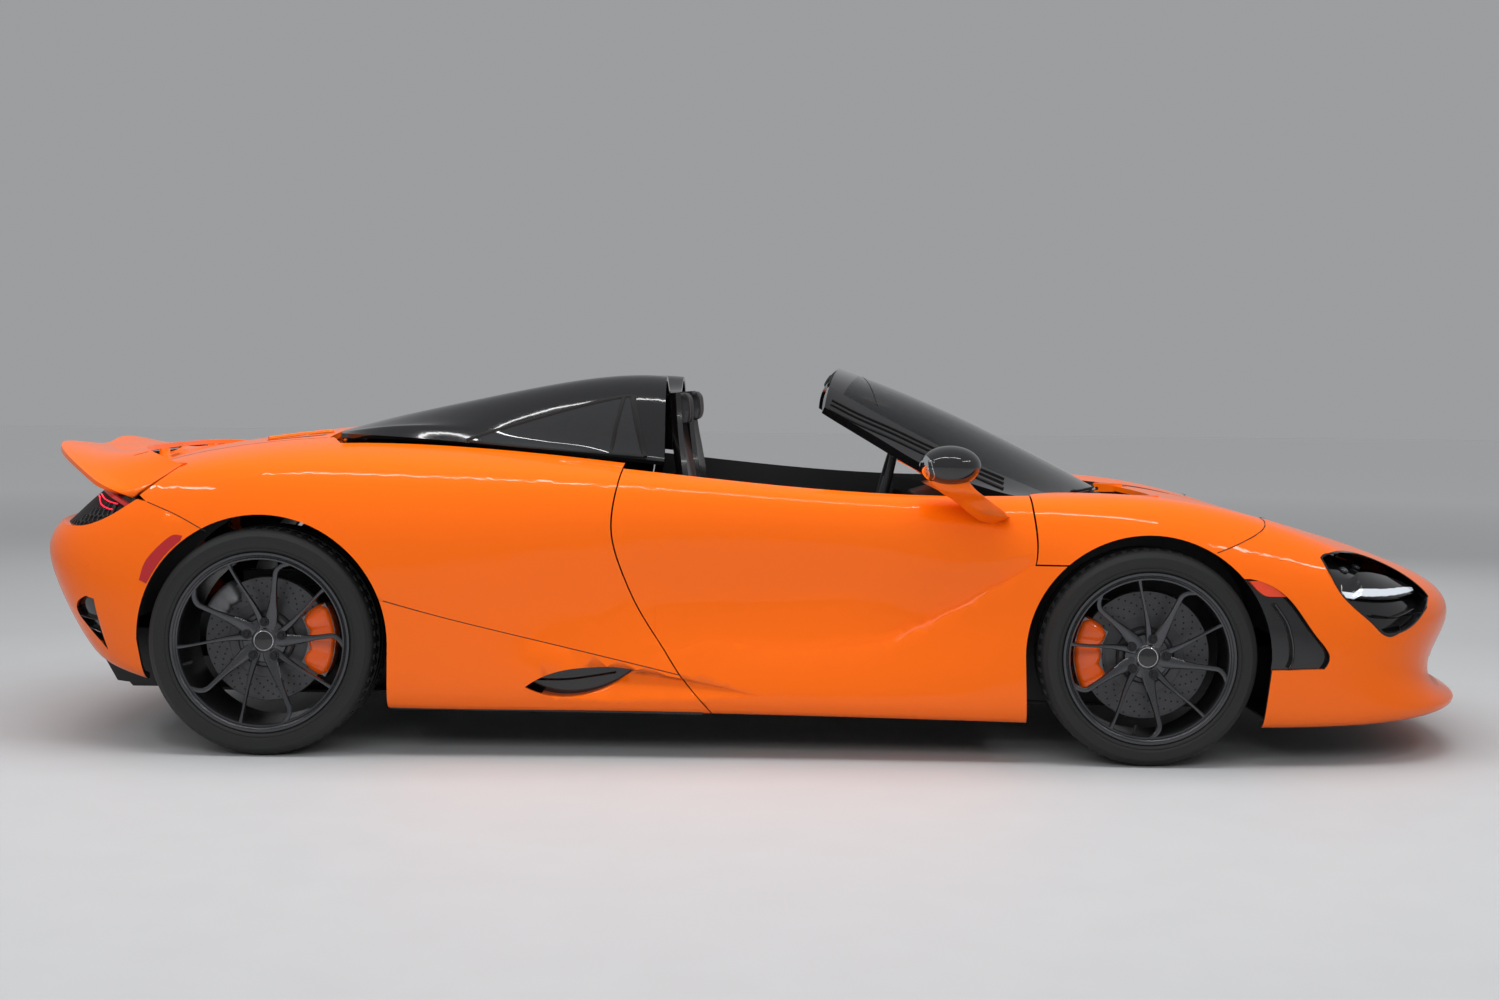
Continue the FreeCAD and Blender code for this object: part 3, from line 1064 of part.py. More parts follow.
arms_all = []
rear_uprights = []
for name, side, steered in (("front_left", 1, True), ("front_right", -1, True),
                            ("rear_left", 1, False), ("rear_right", -1, False)):
    arms, pin_y = corner(name, side, steered)
    arms_all = arms_all + arms
export(Part.makeCompound(arms_all), "suspension_arms")
export(Part.makeCompound(rear_uprights), "rear_uprights")


# Lamps
LAMP_DEPTH = 52.0
LAMP_WALL = 5.0
lamp_outline = grown(HEADLAMP_OUTLINE, -SEAM)
lamp_block = closed_skin(POLES, inward(POLES, LAMP_DEPTH)).common(side_prism(lamp_outline, 300, 1100))
lamp_room = closed_skin(POLES, inward(POLES, LAMP_DEPTH - LAMP_WALL))
lamp_room = lamp_room.common(side_prism(grown(HEADLAMP_OUTLINE, -SEAM - LAMP_WALL), 300, 1100))
headlamp = lamp_block.cut(lamp_room).cut(bonnet_prism(BONNET_GAP))
headlamp = max(headlamp.Solids, key=lambda piece: piece.Volume)
export(pair(headlamp), "headlamps")
export(pair(lamp_half), "tail_lamps")
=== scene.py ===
# %% [markdown]
# # An orange open sports car
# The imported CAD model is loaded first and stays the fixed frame. Every finish and every extra
# piece below is fitted to it, in metres, nose toward +X and up +Z.
# %% Load the frame
import bpy
import bmesh
import math
from mathutils import Matrix, Vector
from mathutils.bvhtree import BVHTree


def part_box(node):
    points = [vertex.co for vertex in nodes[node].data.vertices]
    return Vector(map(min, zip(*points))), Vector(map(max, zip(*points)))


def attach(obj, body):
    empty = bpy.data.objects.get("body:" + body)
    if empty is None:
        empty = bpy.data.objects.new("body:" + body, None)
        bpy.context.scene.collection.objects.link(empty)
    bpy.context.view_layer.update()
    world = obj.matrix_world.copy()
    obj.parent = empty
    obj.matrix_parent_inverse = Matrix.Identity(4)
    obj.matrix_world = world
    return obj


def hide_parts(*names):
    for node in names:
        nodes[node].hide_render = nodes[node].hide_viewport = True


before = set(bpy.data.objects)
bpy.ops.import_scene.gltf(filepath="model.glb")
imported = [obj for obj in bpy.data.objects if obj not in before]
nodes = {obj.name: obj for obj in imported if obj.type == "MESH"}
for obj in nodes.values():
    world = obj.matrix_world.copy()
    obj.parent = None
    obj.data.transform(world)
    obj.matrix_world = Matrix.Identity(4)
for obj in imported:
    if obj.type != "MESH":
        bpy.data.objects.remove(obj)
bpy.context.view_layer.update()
UP = Vector((0, 0, 1))
DOWN = Vector((0, 0, -1))
HANDS = (("left", 1), ("right", -1))
CHASSIS = "chassis"

# %% [markdown]
# The camera stands where the photographer stood: level with the doors, seven and a half metres
# out from the right side. Its place and lens were solved from the wheel centres and the wheelbase.
# A guess by eye would make the wheels too round or too flat.
# %% Camera
SENSOR_WIDTH = 36.0
LENS = 53.52
CAMERA_PLACE = (0.1364, -7.5905, 1.1509)
yaw, pitch, roll = (math.radians(angle) for angle in (1.3135, 3.1106, 0.5185))


def to_scene(name, data):
    thing = bpy.data.objects.new(name, data)
    bpy.context.scene.collection.objects.link(thing)
    return thing


def brief(numbers):
    return [round(number, 3) for number in numbers]


camera_data = bpy.data.cameras.new("camera")
camera_data.sensor_width = SENSOR_WIDTH
camera_data.lens = LENS
camera = to_scene("camera", camera_data)
ahead = Vector((-math.sin(yaw), math.cos(yaw), 0))
right = Vector((math.cos(yaw), math.sin(yaw), 0))
look = ahead * math.cos(pitch) - UP * math.sin(pitch)
level_over = UP * math.cos(pitch) + ahead * math.sin(pitch)
across = right * math.cos(roll) + level_over * math.sin(roll)
over = level_over * math.cos(roll) - right * math.sin(roll)
turn = Matrix((across, over, -look)).transposed().to_4x4()
camera.matrix_world = Matrix.Translation(CAMERA_PLACE) @ turn
bpy.context.scene.camera = camera
print("camera looks along", brief(look))

# %% [markdown]
# The car stands in a pale studio. Wide soft lamps light the paint but stay out of its reflections,
# because a wide lamp mirrored in black gloss would hide the form. Three narrow strips of light give
# the thin bright lines on the shoulders instead. The plain view transform keeps the paint's full
# orange, which the film-like one would wash out.
# %% Light and world
def area_lamp(name, place, aim, width, depth, power, mirrored=True):
    lamp = bpy.data.lights.new(name, "AREA")
    lamp.shape = "RECTANGLE"
    lamp.size = width
    lamp.size_y = depth
    lamp.energy = power
    holder = to_scene(name, lamp)
    holder.location = place
    aimed = Vector(aim) - Vector(place)
    holder.rotation_euler = aimed.to_track_quat("-Z", "Y").to_euler()
    holder.visible_glossy = mirrored
    holder.visible_transmission = False


world = bpy.data.worlds.new("studio")
bpy.context.scene.world = world
world.use_nodes = True
background = world.node_tree.nodes["Background"]
background.inputs["Color"].default_value = (0.80, 0.81, 0.83, 1)
background.inputs["Strength"].default_value = 0.42
area_lamp("lamp_over", (0, -0.5, 4.6), (0, 0, 0.5), 7.0, 4.0, 230, mirrored=False)
area_lamp("lamp_near", (-0.5, -6.5, 3.4), (0, 0, 0.5), 7.0, 2.0, 150, mirrored=False)
area_lamp("lamp_back", (0.5, 6.0, 3.6), (0, 0, 0.6), 7.0, 2.0, 110, mirrored=False)
area_lamp("strip_over", (-0.2, -1.9, 3.6), (0, -0.4, 0.6), 4.6, 0.10, 26)
area_lamp("strip_front", (3.6, -2.2, 3.2), (1.2, -0.4, 0.6), 2.4, 0.10, 12)
area_lamp("strip_rear", (-3.8, -1.6, 3.2), (-1.5, -0.4, 0.7), 2.4, 0.10, 12)
bpy.context.scene.view_settings.view_transform = "Standard"
print("lamps", len(bpy.data.lights))

# %% [markdown]
# Finishes. The body colour, the blacks and the metals all vary a little over a surface, so one
# shared group mixes two tones by a fine noise and lets the roughness and height follow it.
# %% The shared mottle group
MIX_FACTOR, MIX_A, MIX_B = 0, 6, 7
MIX_RESULT = 2


def wire(tree, *pairs):
    for source, target in pairs:
        tree.links.new(source, target)


mottle = bpy.data.node_groups.new("mottle", "ShaderNodeTree")
COLOUR, NUMBER = "NodeSocketColor", "NodeSocketFloat"
for label, kind, start in (("Tone A", COLOUR, (1, 1, 1, 1)), ("Tone B", COLOUR, (0, 0, 0, 1)),
                           ("Scale", NUMBER, 40.0), ("Rough low", NUMBER, 0.3),
                           ("Rough high", NUMBER, 0.4)):
    socket = mottle.interface.new_socket(label, in_out="INPUT", socket_type=kind)
    socket.default_value = start
for label, kind in (("Tone", COLOUR), ("Roughness", NUMBER), ("Height", NUMBER)):
    mottle.interface.new_socket(label, in_out="OUTPUT", socket_type=kind)
taken = mottle.nodes.new("NodeGroupInput").outputs
given = mottle.nodes.new("NodeGroupOutput").inputs
where = mottle.nodes.new("ShaderNodeTexCoord").outputs
noise = mottle.nodes.new("ShaderNodeTexNoise")
noise.inputs["Detail"].default_value = 4.0
blend = mottle.nodes.new("ShaderNodeMix")
blend.data_type = "RGBA"
spread = mottle.nodes.new("ShaderNodeMapRange")
wire(mottle, (where["Object"], noise.inputs["Vector"]), (taken["Scale"], noise.inputs["Scale"]),
     (noise.outputs["Fac"], blend.inputs[MIX_FACTOR]), (taken["Tone A"], blend.inputs[MIX_A]),
     (taken["Tone B"], blend.inputs[MIX_B]), (noise.outputs["Fac"], spread.inputs["Value"]),
     (taken["Rough low"], spread.inputs["To Min"]), (taken["Rough high"], spread.inputs["To Max"]),
     (blend.outputs[MIX_RESULT], given["Tone"]), (spread.outputs["Result"], given["Roughness"]),
     (noise.outputs["Fac"], given["Height"]))
print("mottle nodes", len(mottle.nodes))

# %% [markdown]
# Each finish sets its own two tones, grain size and gloss on that group. Paint and plastic get a
# clear coat, metal a high metallic value, and lamps a little light of their own. Grained blacks get
# a bump from the same noise, so that colour and relief belong together.
# %% One finish
def finish(name, tone_a, tone_b, rough, scale, metallic=0.0, coat=0.0, bump=0.0, gloss=0.5,
           glow=None):
    material = bpy.data.materials.new(name)
    material.use_nodes = True
    tree = material.node_tree
    shader = tree.nodes["Principled BSDF"]
    group = tree.nodes.new("ShaderNodeGroup")
    group.node_tree = mottle
    group.inputs["Tone A"].default_value = (*tone_a, 1)
    group.inputs["Tone B"].default_value = (*tone_b, 1)
    group.inputs["Scale"].default_value = scale
    group.inputs["Rough low"].default_value, group.inputs["Rough high"].default_value = rough
    wire(tree, (group.outputs["Tone"], shader.inputs["Base Color"]),
         (group.outputs["Roughness"], shader.inputs["Roughness"]))
    shader.inputs["Metallic"].default_value = metallic
    shader.inputs["Coat Weight"].default_value = coat
    shader.inputs["Coat Roughness"].default_value = 0.03
    shader.inputs["Specular IOR Level"].default_value = gloss
    if bump > 0:
        relief = tree.nodes.new("ShaderNodeBump")
        relief.inputs["Strength"].default_value = bump
        relief.inputs["Distance"].default_value = 0.001
        wire(tree, (group.outputs["Height"], relief.inputs["Height"]),
             (relief.outputs["Normal"], shader.inputs["Normal"]))
    if glow:
        shader.inputs["Emission Color"].default_value = (*glow[0], 1)
        shader.inputs["Emission Strength"].default_value = glow[1]
    return material


print("each finish uses", mottle.name)

# %% The finishes that most pieces share
orange_paint = finish("orange_paint", (0.96, 0.150, 0.0015), (0.92, 0.138, 0.001), (0.34, 0.42),
                      900.0, coat=0.6, gloss=0.06)
gloss_black = finish("gloss_black", (0.006, 0.006, 0.007), (0.010, 0.010, 0.011), (0.08, 0.14),
                     300.0, coat=0.6)
satin_black = finish("satin_black", (0.012, 0.012, 0.013), (0.020, 0.020, 0.021), (0.42, 0.55),
                     500.0, bump=0.25)
carbon_black = finish("carbon_black", (0.010, 0.010, 0.011), (0.022, 0.022, 0.024), (0.30, 0.45),
                      700.0, bump=0.2)
soft_seal = finish("soft_seal", (0.008, 0.008, 0.008), (0.014, 0.014, 0.014), (0.60, 0.75),
                   400.0, bump=0.3)
rim_graphite = finish("rim_graphite", (0.085, 0.087, 0.093), (0.110, 0.112, 0.118), (0.24, 0.32),
                      600.0, metallic=0.9)
disc_metal = finish("disc_metal", (0.11, 0.11, 0.115), (0.08, 0.08, 0.084), (0.34, 0.46),
                    200.0, metallic=0.8)
cast_metal = finish("cast_metal", (0.30, 0.30, 0.31), (0.22, 0.22, 0.23), (0.45, 0.60),
                    150.0, metallic=0.8, bump=0.4)
tyre_rubber = finish("tyre_rubber", (0.008, 0.008, 0.008), (0.014, 0.014, 0.014), (0.50, 0.64),
                     300.0, bump=0.3)
seat_hide = finish("seat_hide", (0.018, 0.018, 0.020), (0.030, 0.030, 0.032), (0.48, 0.60),
                   900.0, bump=0.35)
print("finishes", len(bpy.data.materials))

# %% [markdown]
# The windscreen looks dark from outside. Light takes the tint on each face of the pane that it
# crosses, so the tint is set paler than the glass looks.
# %% Glass
screen_glass = bpy.data.materials.new("screen_glass")
screen_glass.use_nodes = True
glass_inputs = screen_glass.node_tree.nodes["Principled BSDF"].inputs
glass_inputs["Base Color"].default_value = (0.14, 0.15, 0.155, 1)
glass_inputs["Transmission Weight"].default_value = 1.0
glass_inputs["Roughness"].default_value = 0.02
glass_inputs["IOR"].default_value = 1.45
print("glass", screen_glass.name)

# %% [markdown]
# The body panels keep the CAD shape. A CAD mesh is loose triangles, so a copy is joined along
# its edges first. Then smooth shading makes the long soft highlights that paint shows.
# %% Panels from the CAD shapes
SAME_POINT = 0.00002
SHARP_EDGE = math.radians(30.0)


def joined_copy(node, name, body, material):
    data = nodes[node].data.copy()
    shape = bmesh.new()
    shape.from_mesh(data)
    bmesh.ops.remove_doubles(shape, verts=shape.verts, dist=SAME_POINT)
    shape.to_mesh(data)
    shape.free()
    data.shade_smooth()
    data.set_sharp_from_angle(angle=SHARP_EDGE)
    data.materials.clear()
    data.materials.append(material)
    piece = to_scene(name, data)
    even = piece.modifiers.new("even_shading", "WEIGHTED_NORMAL")
    even.mode = "FACE_AREA"
    even.keep_sharp = True
    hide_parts(node)
    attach(piece, body)
    return piece


PAINTED = {"front_bumper": CHASSIS, "front_fenders": CHASSIS, "side_panels": CHASSIS,
           "rear_quarters": CHASSIS, "rear_bumper": CHASSIS, "rear_deck": CHASSIS,
           "bonnet": "bonnet_lid", "door_left": "left_door", "door_right": "right_door",
           "rear_wing": "wing"}
panels = {}
for node, body in PAINTED.items():
    panels[node] = joined_copy(node, node + "_paint", body, orange_paint)
print("panels", len(panels))

# %% [markdown]
# The other CAD shapes are right as they are and only get their finish: carbon for the tub, satin
# for the underside and dashboard, gloss for the screen's frame and the cover, cast metal below.
# %% Finishes on the CAD shapes
def dress(node, material):
    data = nodes[node].data
    if not data.materials:
        data.materials.append(material)
    for slot in nodes[node].material_slots:
        slot.material = material


PLAIN = ((carbon_black, ("tub",)),
         (satin_black, ("underfloor", "diffuser", "cowl", "dashboard")),
         (screen_glass, ("windscreen_glass",)),
         (gloss_black, ("windscreen_frame", "headlamps", "tonneau_cover", "duct_linings")),
         (cast_metal, ("engine_block", "suspension_arms", "rear_uprights", "upright_front_left",
                       "upright_front_right")),
         (soft_seal, ("door_seals",)),
         (seat_hide, ("steering_wheel",)))
for material, names in PLAIN:
    for node in names:
        dress(node, material)
print("dressed", sum(len(names) for material, names in PLAIN))

# %% [markdown]
# Many pieces here are a grid bent into a form: a spoke, a caliper, a lamp. One helper makes the
# grid with the grid operator and asks a small function where each of its points goes. The points
# that fall together are merged, so a grid can close into a tube.
# %% Bending a grid into a form
def add_piece(shape, name, material, body=CHASSIS, smooth=40.0, replaced=()):
    data = bpy.data.meshes.new(name)
    shape.to_mesh(data)
    shape.free()
    data.materials.append(material)
    data.shade_smooth()
    data.set_sharp_from_angle(angle=math.radians(smooth))
    piece = to_scene(name, data)
    if replaced:
        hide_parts(*replaced)
    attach(piece, body)
    return piece


def faces_of(verts):
    return list({face for vert in verts for face in vert.link_faces})


def bent_grid(shape, place, along, across, cap=False):
    made = bmesh.ops.create_grid(shape, x_segments=along, y_segments=across, size=1.0)["verts"]
    for vert in made:
        vert.co = place((vert.co.x + 1) / 2, (vert.co.y + 1) / 2)
    bmesh.ops.remove_doubles(shape, verts=made, dist=0.00001)
    made = [vert for vert in made if vert.is_valid]
    if cap:
        edges = {edge for vert in made for edge in vert.link_edges}
        rims = [edge for edge in edges if edge.is_boundary]
        bmesh.ops.holes_fill(shape, edges=rims, sides=0)
    bmesh.ops.recalc_face_normals(shape, faces=faces_of(made))
    return made


def mixed(a, b, share):
    return a + (b - a) * share


def spaced(low, high, count):
    return [mixed(low, high, i / count) for i in range(count + 1)]


def eased(share):
    return share * share * (3 - 2 * share)


print("a quarter of the way, eased:", eased(0.25))

# %% [markdown]
# A round piece is half a section, turned about the axle with spin. The section is a loop of radius
# and distance along the axle, so one helper serves tyres, rims and discs. The sizes of the front
# and the rear wheels follow in metres, and in degrees where the first spoke, bolt, valve and
# caliper stand.
# %% Turning a section about an axle
def turned(shape, section, axle, steps, along_x=False):
    if along_x:
        verts = [shape.verts.new((axle[0] + y, axle[1], axle[2] + r)) for r, y in section]
    else:
        verts = [shape.verts.new((axle[0] + r, axle[1] + y, axle[2])) for r, y in section]
    pairs = list(zip(verts, verts[1:])) + [(verts[-1], verts[0])]
    edges = [shape.edges.new(pair) for pair in pairs]
    before = set(shape.faces)
    axis = (1, 0, 0) if along_x else (0, 1, 0)
    bmesh.ops.spin(shape, geom=verts + edges, cent=axle, axis=axis, angle=2 * math.pi,
                   steps=steps, use_merge=True)
    made = [face for face in shape.faces if face not in before]
    bmesh.ops.recalc_face_normals(shape, faces=made)
    return made


FRONT = {"axle": (1.1835, 0.840, 0.327), "radius": 0.327, "width": 0.245, "rim": 0.254,
         "dish": 0.046, "disc": 0.195, "liner": 0.385,
         "spoke_turn": 64.0, "bolt_turn": 3.0, "valve_turn": 260.0, "caliper_turn": 180.0}
REAR = {"axle": (-1.4865, 0.8145, 0.3455), "radius": 0.3455, "width": 0.305, "rim": 0.268,
        "dish": 0.056, "disc": 0.190, "liner": 0.393,
        "spoke_turn": 78.0, "bolt_turn": 17.0, "valve_turn": 197.0, "caliper_turn": 0.0}
CORNERS = {end + "_" + hand: {**sizes, "side": side}
           for end, sizes in (("front", FRONT), ("rear", REAR)) for hand, side in HANDS}
print("corners", list(CORNERS))

# %% [markdown]
# Tyres. The section has a bulged side wall, a raised guard by the rim and three grooves round the
# tread. The shoulder blocks are sunk in afterwards with inset, step by step round the wheel.
# %% The tyre's section
# height over the rim and distance in from the side wall, near the rim and near the shoulder
GUARD = ((0.001, 0.024), (0.007, 0.010), (0.012, 0.0055), (0.016, 0.0035), (0.019, 0.0050))
BULGE = ((0.34, 0.0010), (0.52, 0.0), (0.68, 0.0030))
SHOULDER = ((0.019, 0.0095), (0.0115, 0.0150), (0.0045, 0.0290), (0.0012, 0.046))
SIDE_GROOVE = ((0.0004, 0.008), (0.0075, 0.006), (0.0075, -0.004), (0.0001, -0.006))


def tyre_section(radius, width, rim):
    half = width / 2
    groove = 0.34 * half
    outer = [(rim + rise, half - inset) for rise, inset in GUARD]
    outer += [(rim + share * (radius - rim), half - inset) for share, inset in BULGE]
    outer += [(radius - drop, half - inset) for drop, inset in SHOULDER]
    outer += [(radius - drop, groove + y) for drop, y in SIDE_GROOVE]
    outer += [(radius, 0.006), (radius - 0.0075, 0.004)]
    return outer + [(r, -y) for r, y in reversed(outer)]


print("section of", len(tyre_section(FRONT["radius"], FRONT["width"], FRONT["rim"])), "points")

# %% The four tyres
TYRE_STEPS = 120
BLOCK_DEPTH = 0.0055


def make_tyre(corner):
    parts = CORNERS[corner]
    radius, width, rim = parts["radius"], parts["width"], parts["rim"]
    x, y, z = parts["axle"]
    centre = (x, parts["side"] * y, z)
    shape = bmesh.new()
    inner = [(rim + 0.001, -width / 2 + 0.05), (radius - 0.03, -width / 2 + 0.04),
             (radius - 0.03, width / 2 - 0.04), (rim + 0.001, width / 2 - 0.05)]
    faces = turned(shape, tyre_section(radius, width, rim) + inner, centre, TYRE_STEPS)
    shoulders = []
    for face in faces:
        spot = face.calc_center_median()
        reach = math.hypot(spot.x - centre[0], spot.z - centre[2])
        across = abs(spot.y - centre[1])
        if reach > radius - 0.0035 and width * 0.22 < across < width * 0.45:
            shoulders.append(face)
    bmesh.ops.inset_individual(shape, faces=shoulders, thickness=0.0016, depth=0.0)
    step = 2 * math.pi / TYRE_STEPS
    for face in shoulders:
        spot = face.calc_center_median()
        turn_here = math.atan2(spot.z - centre[2], spot.x - centre[0])
        if int(round(turn_here / step)) % 2:
            for vert in face.verts:
                flat = Vector((vert.co.x - centre[0], 0, vert.co.z - centre[2]))
                vert.co -= flat.normalized() * BLOCK_DEPTH
    return add_piece(shape, "tyre_" + corner + "_tread", tyre_rubber, "wheel_" + corner, 30.0,
                     ["tyre_" + corner])


for corner in CORNERS:
    piece = make_tyre(corner)
    print(piece.name, len(piece.data.polygons), "faces")

# %% [markdown]
# Wheels. The real ones are dark cast alloy with five broad spokes that bend into the rim at one
# side and a thin spoke after each. Each spoke is a grid rolled into a tube whose middle line and
# width follow the photograph, so its root, its hollow face and its bent tip are one smooth form.
# %% The rim's section
RIM_TUCK = 0.014
# height over the rim's seat and distance from its outer face, then from its inner face
RIM_FACE = ((0.0055, -0.0035), (0.0035, -0.0005), (-0.0035, -0.0010), (-0.0060, -0.0055),
            (-0.0105, -0.0080), (-0.0130, -0.0055), (-0.0170, -0.0070), (-0.0190, -0.0130),
            (-0.0185, -0.0400), (-0.0140, -0.0800))
RIM_BACK = ((-0.0140, 0.0200), (-0.0070, 0.0040), (0.0030, 0.0020), (0.0050, 0.0060),
            (-0.0010, 0.0110), (-0.0060, 0.0300))
RIM_SEAT = ((-0.0060, -0.0800), (-0.0035, -0.0160), (0.0015, -0.0090))


def rim_section(rim, width):
    return ([(rim + rise, y) for rise, y in RIM_FACE]
            + [(rim + rise, y - width) for rise, y in RIM_BACK]
            + [(rim + rise, y) for rise, y in RIM_SEAT])


print("section of", len(rim_section(FRONT["rim"], FRONT["width"])), "points")

# %% One spoke
# bend of the tip, lean of the root, half width at root and at tip, spread of the bent tip
BROAD_SPOKE = (math.radians(9.0), math.radians(-7.0), 0.022, 0.0085, 0.008)
THIN_SPOKE = (0.0, math.radians(-15.0), 0.012, 0.0050, 0.003)


def squared(roll, power):
    across = math.cos(roll)
    up = math.sin(roll)
    return math.copysign(abs(across) ** power, across), math.copysign(abs(up) ** power, up)


def spoke_form(angle, kind, rim, dish, centre, side):
    bend, lean, root_width, tip_width, tip_spread = kind

    def place(u, v):
        reach = mixed(0.036, rim - 0.0125, u)
        turn_here = angle + lean * (1 - u) ** 2
        swing = max(0.0, (u - 0.80) / 0.20)
        turn_here -= bend * swing * swing
        width = mixed(root_width, tip_width, eased(min(1.0, u * 1.5)))
        width += tip_spread * swing * swing
        depth = mixed(0.030, 0.022, u)
        face = dish * (1 - eased(min(1.0, u * 0.92 + 0.05))) + 0.0075
        across, up = squared(2 * math.pi * v, 0.7)
        wide = width * across * (1.0 if up > 0 else 0.72)
        x = reach * math.cos(turn_here) - wide * math.sin(turn_here)
        z = reach * math.sin(turn_here) + wide * math.cos(turn_here)
        y = -face - depth / 2 + depth / 2 * up
        return Vector((centre[0] - side * x, centre[1] + side * y, centre[2] + z))

    return place


print("a squared corner lies at", brief(squared(math.pi / 4, 0.7)))

# %% The four wheels
def rim_centre(corner):
    parts = CORNERS[corner]
    x, y, z = parts["axle"]
    return (x, parts["side"] * (y + (parts["width"] - RIM_TUCK) / 2), z)


def make_wheel(corner):
    parts = CORNERS[corner]
    side, rim, dish = parts["side"], parts["rim"], parts["dish"]
    centre = rim_centre(corner)
    shape = bmesh.new()
    section = [(r, side * y) for r, y in rim_section(rim, parts["width"] - RIM_TUCK)]
    turned(shape, section, centre, 96)
    for step in range(5):
        broad = math.radians(parts["spoke_turn"] + 72.0 * step)
        thin = math.radians(parts["spoke_turn"] + 72.0 * step + 34.0)
        broad_form = spoke_form(broad, BROAD_SPOKE, rim, dish, centre, side)
        bent_grid(shape, broad_form, 26, 14, cap=True)
        bent_grid(shape, spoke_form(thin, THIN_SPOKE, rim, dish, centre, side), 18, 12, cap=True)
    boss = [(0.0005, -0.004), (0.034, -0.004), (0.040, -0.009), (0.066, -0.014), (0.070, -0.022),
            (0.070, -0.046), (0.0005, -0.046)]
    turned(shape, [(r, side * (y - dish)) for r, y in boss], centre, 60)
    return add_piece(shape, "alloy_" + corner, rim_graphite, "wheel_" + corner, 32.0,
                     ["wheel_" + corner])


for corner in CORNERS:
    piece = make_wheel(corner)
    print(piece.name, len(piece.data.polygons), "faces")

# %% [markdown]
# The bare centre cap is a shallow dome in a bright ring. Five dark bolts stand round it, each a
# six-sided cone on a round seat with its edges bevelled. A rubber valve stem stands in the barrel.
# %% Centre caps
bright_metal = finish("bright_metal", (0.62, 0.62, 0.63), (0.50, 0.50, 0.52), (0.12, 0.2), 300.0,
                      metallic=1.0)
CAP_DOME = ((0.0003, 0.0030), (0.010, 0.0027), (0.020, 0.0018), (0.0265, 0.0005),
            (0.0275, -0.004), (0.0003, -0.004))
CAP_RING = ((0.0278, 0.0010), (0.0292, 0.0016), (0.0305, 0.0008), (0.0305, -0.005),
            (0.0278, -0.005))


def make_cap(corner):
    side, dish = CORNERS[corner]["side"], CORNERS[corner]["dish"]
    centre = rim_centre(corner)
    cap = bmesh.new()
    turned(cap, [(r, side * (y - dish + 0.001)) for r, y in CAP_DOME], centre, 40)
    add_piece(cap, "cap_" + corner, gloss_black, "wheel_" + corner, 30.0)
    ring = bmesh.new()
    turned(ring, [(r, side * (y - dish)) for r, y in CAP_RING], centre, 40)
    add_piece(ring, "cap_ring_" + corner, bright_metal, "wheel_" + corner, 30.0)


print("cap across", 2 * CAP_RING[2][0])

# %% Cones that stand on a spot
def cone(shape, stand, segments, foot, top, depth):
    return bmesh.ops.create_cone(shape, cap_ends=True, segments=segments, radius1=foot,
                                 radius2=top, depth=depth, matrix=stand)["verts"]


def standing(spot, normal):
    return Matrix.Translation(spot) @ normal.to_track_quat("Z", "Y").to_matrix().to_4x4()


def soften(shape, verts, offset, longest=1.0):
    edges = list({edge for vert in verts for edge in vert.link_edges
                  if edge.calc_length() < longest})
    bmesh.ops.bevel(shape, geom=edges, offset=offset, affect="EDGES", segments=1, profile=0.5,
                    material=-1)


print("a cone stands along", brief(standing(Vector(), UP).col[2]))

# %% Bolts and valves
dark_bolt = finish("dark_bolt", (0.02, 0.02, 0.022), (0.05, 0.05, 0.052), (0.30, 0.42), 300.0,
                   metallic=0.8)
BOLT_CIRCLE = 0.056


def make_bolts(corner):
    side, dish = CORNERS[corner]["side"], CORNERS[corner]["dish"]
    centre = rim_centre(corner)
    bolts = bmesh.new()
    for step in range(5):
        angle = math.radians(CORNERS[corner]["bolt_turn"] + 72.0 * step)
        spot = Vector((centre[0] - side * BOLT_CIRCLE * math.cos(angle),
                       centre[1] - side * (dish + 0.006),
                       centre[2] + BOLT_CIRCLE * math.sin(angle)))
        stand = Matrix.Translation(spot) @ Matrix.Rotation(-side * math.pi / 2, 4, "X")
        cone(bolts, stand, 28, 0.0150, 0.0140, 0.010)
        stand = Matrix.Translation((0, side * 0.004, 0)) @ stand
        soften(bolts, cone(bolts, stand, 6, 0.0095, 0.0080, 0.012), 0.0009)
    add_piece(bolts, "bolts_" + corner, dark_bolt, "wheel_" + corner, 30.0)


def make_valve(corner):
    side, rim = CORNERS[corner]["side"], CORNERS[corner]["rim"]
    centre = rim_centre(corner)
    angle = math.radians(CORNERS[corner]["valve_turn"])
    run = Vector((-side * math.cos(angle), 0, math.sin(angle)))
    foot = Vector((centre[0], centre[1] - side * 0.030, centre[2])) + run * (rim - 0.034)
    stem = bmesh.new()
    rod = cone(stem, standing(foot, run), 16, 0.0042, 0.0050, 0.030)
    soften(stem, rod, 0.0008, longest=0.01)
    add_piece(stem, "valve_" + corner, soft_seal, "wheel_" + corner, 30.0)


for corner in CORNERS:
    make_cap(corner)
    make_bolts(corner)
    make_valve(corner)
print("caps, bolts and valves", len(CORNERS))

# %% [markdown]
# Brake discs. Each keeps the CAD size but gets two plates with a dark gap between, a hat over the
# hub and rows of drilled holes. A hole is a small circle of painted shade just off the plate,
# standing for the shade inside a drilled hole: cut through, the holes would cost thousands of faces
# and look the same.
# %% Plates and hats of the discs
DISC_HAT = ((0.024, 0.0235), (0.080, 0.0235), (0.086, 0.018), (0.088, 0.002), (0.122, -0.002),
            (0.122, -0.008), (0.080, -0.006), (0.076, 0.016), (0.024, 0.018))


def disc_centre(corner):
    parts = CORNERS[corner]
    x, y, z = parts["axle"]
    lip = y + (parts["width"] - RIM_TUCK) / 2
    return (x, parts["side"] * (lip - 0.048 - 0.034 - 0.026), z)


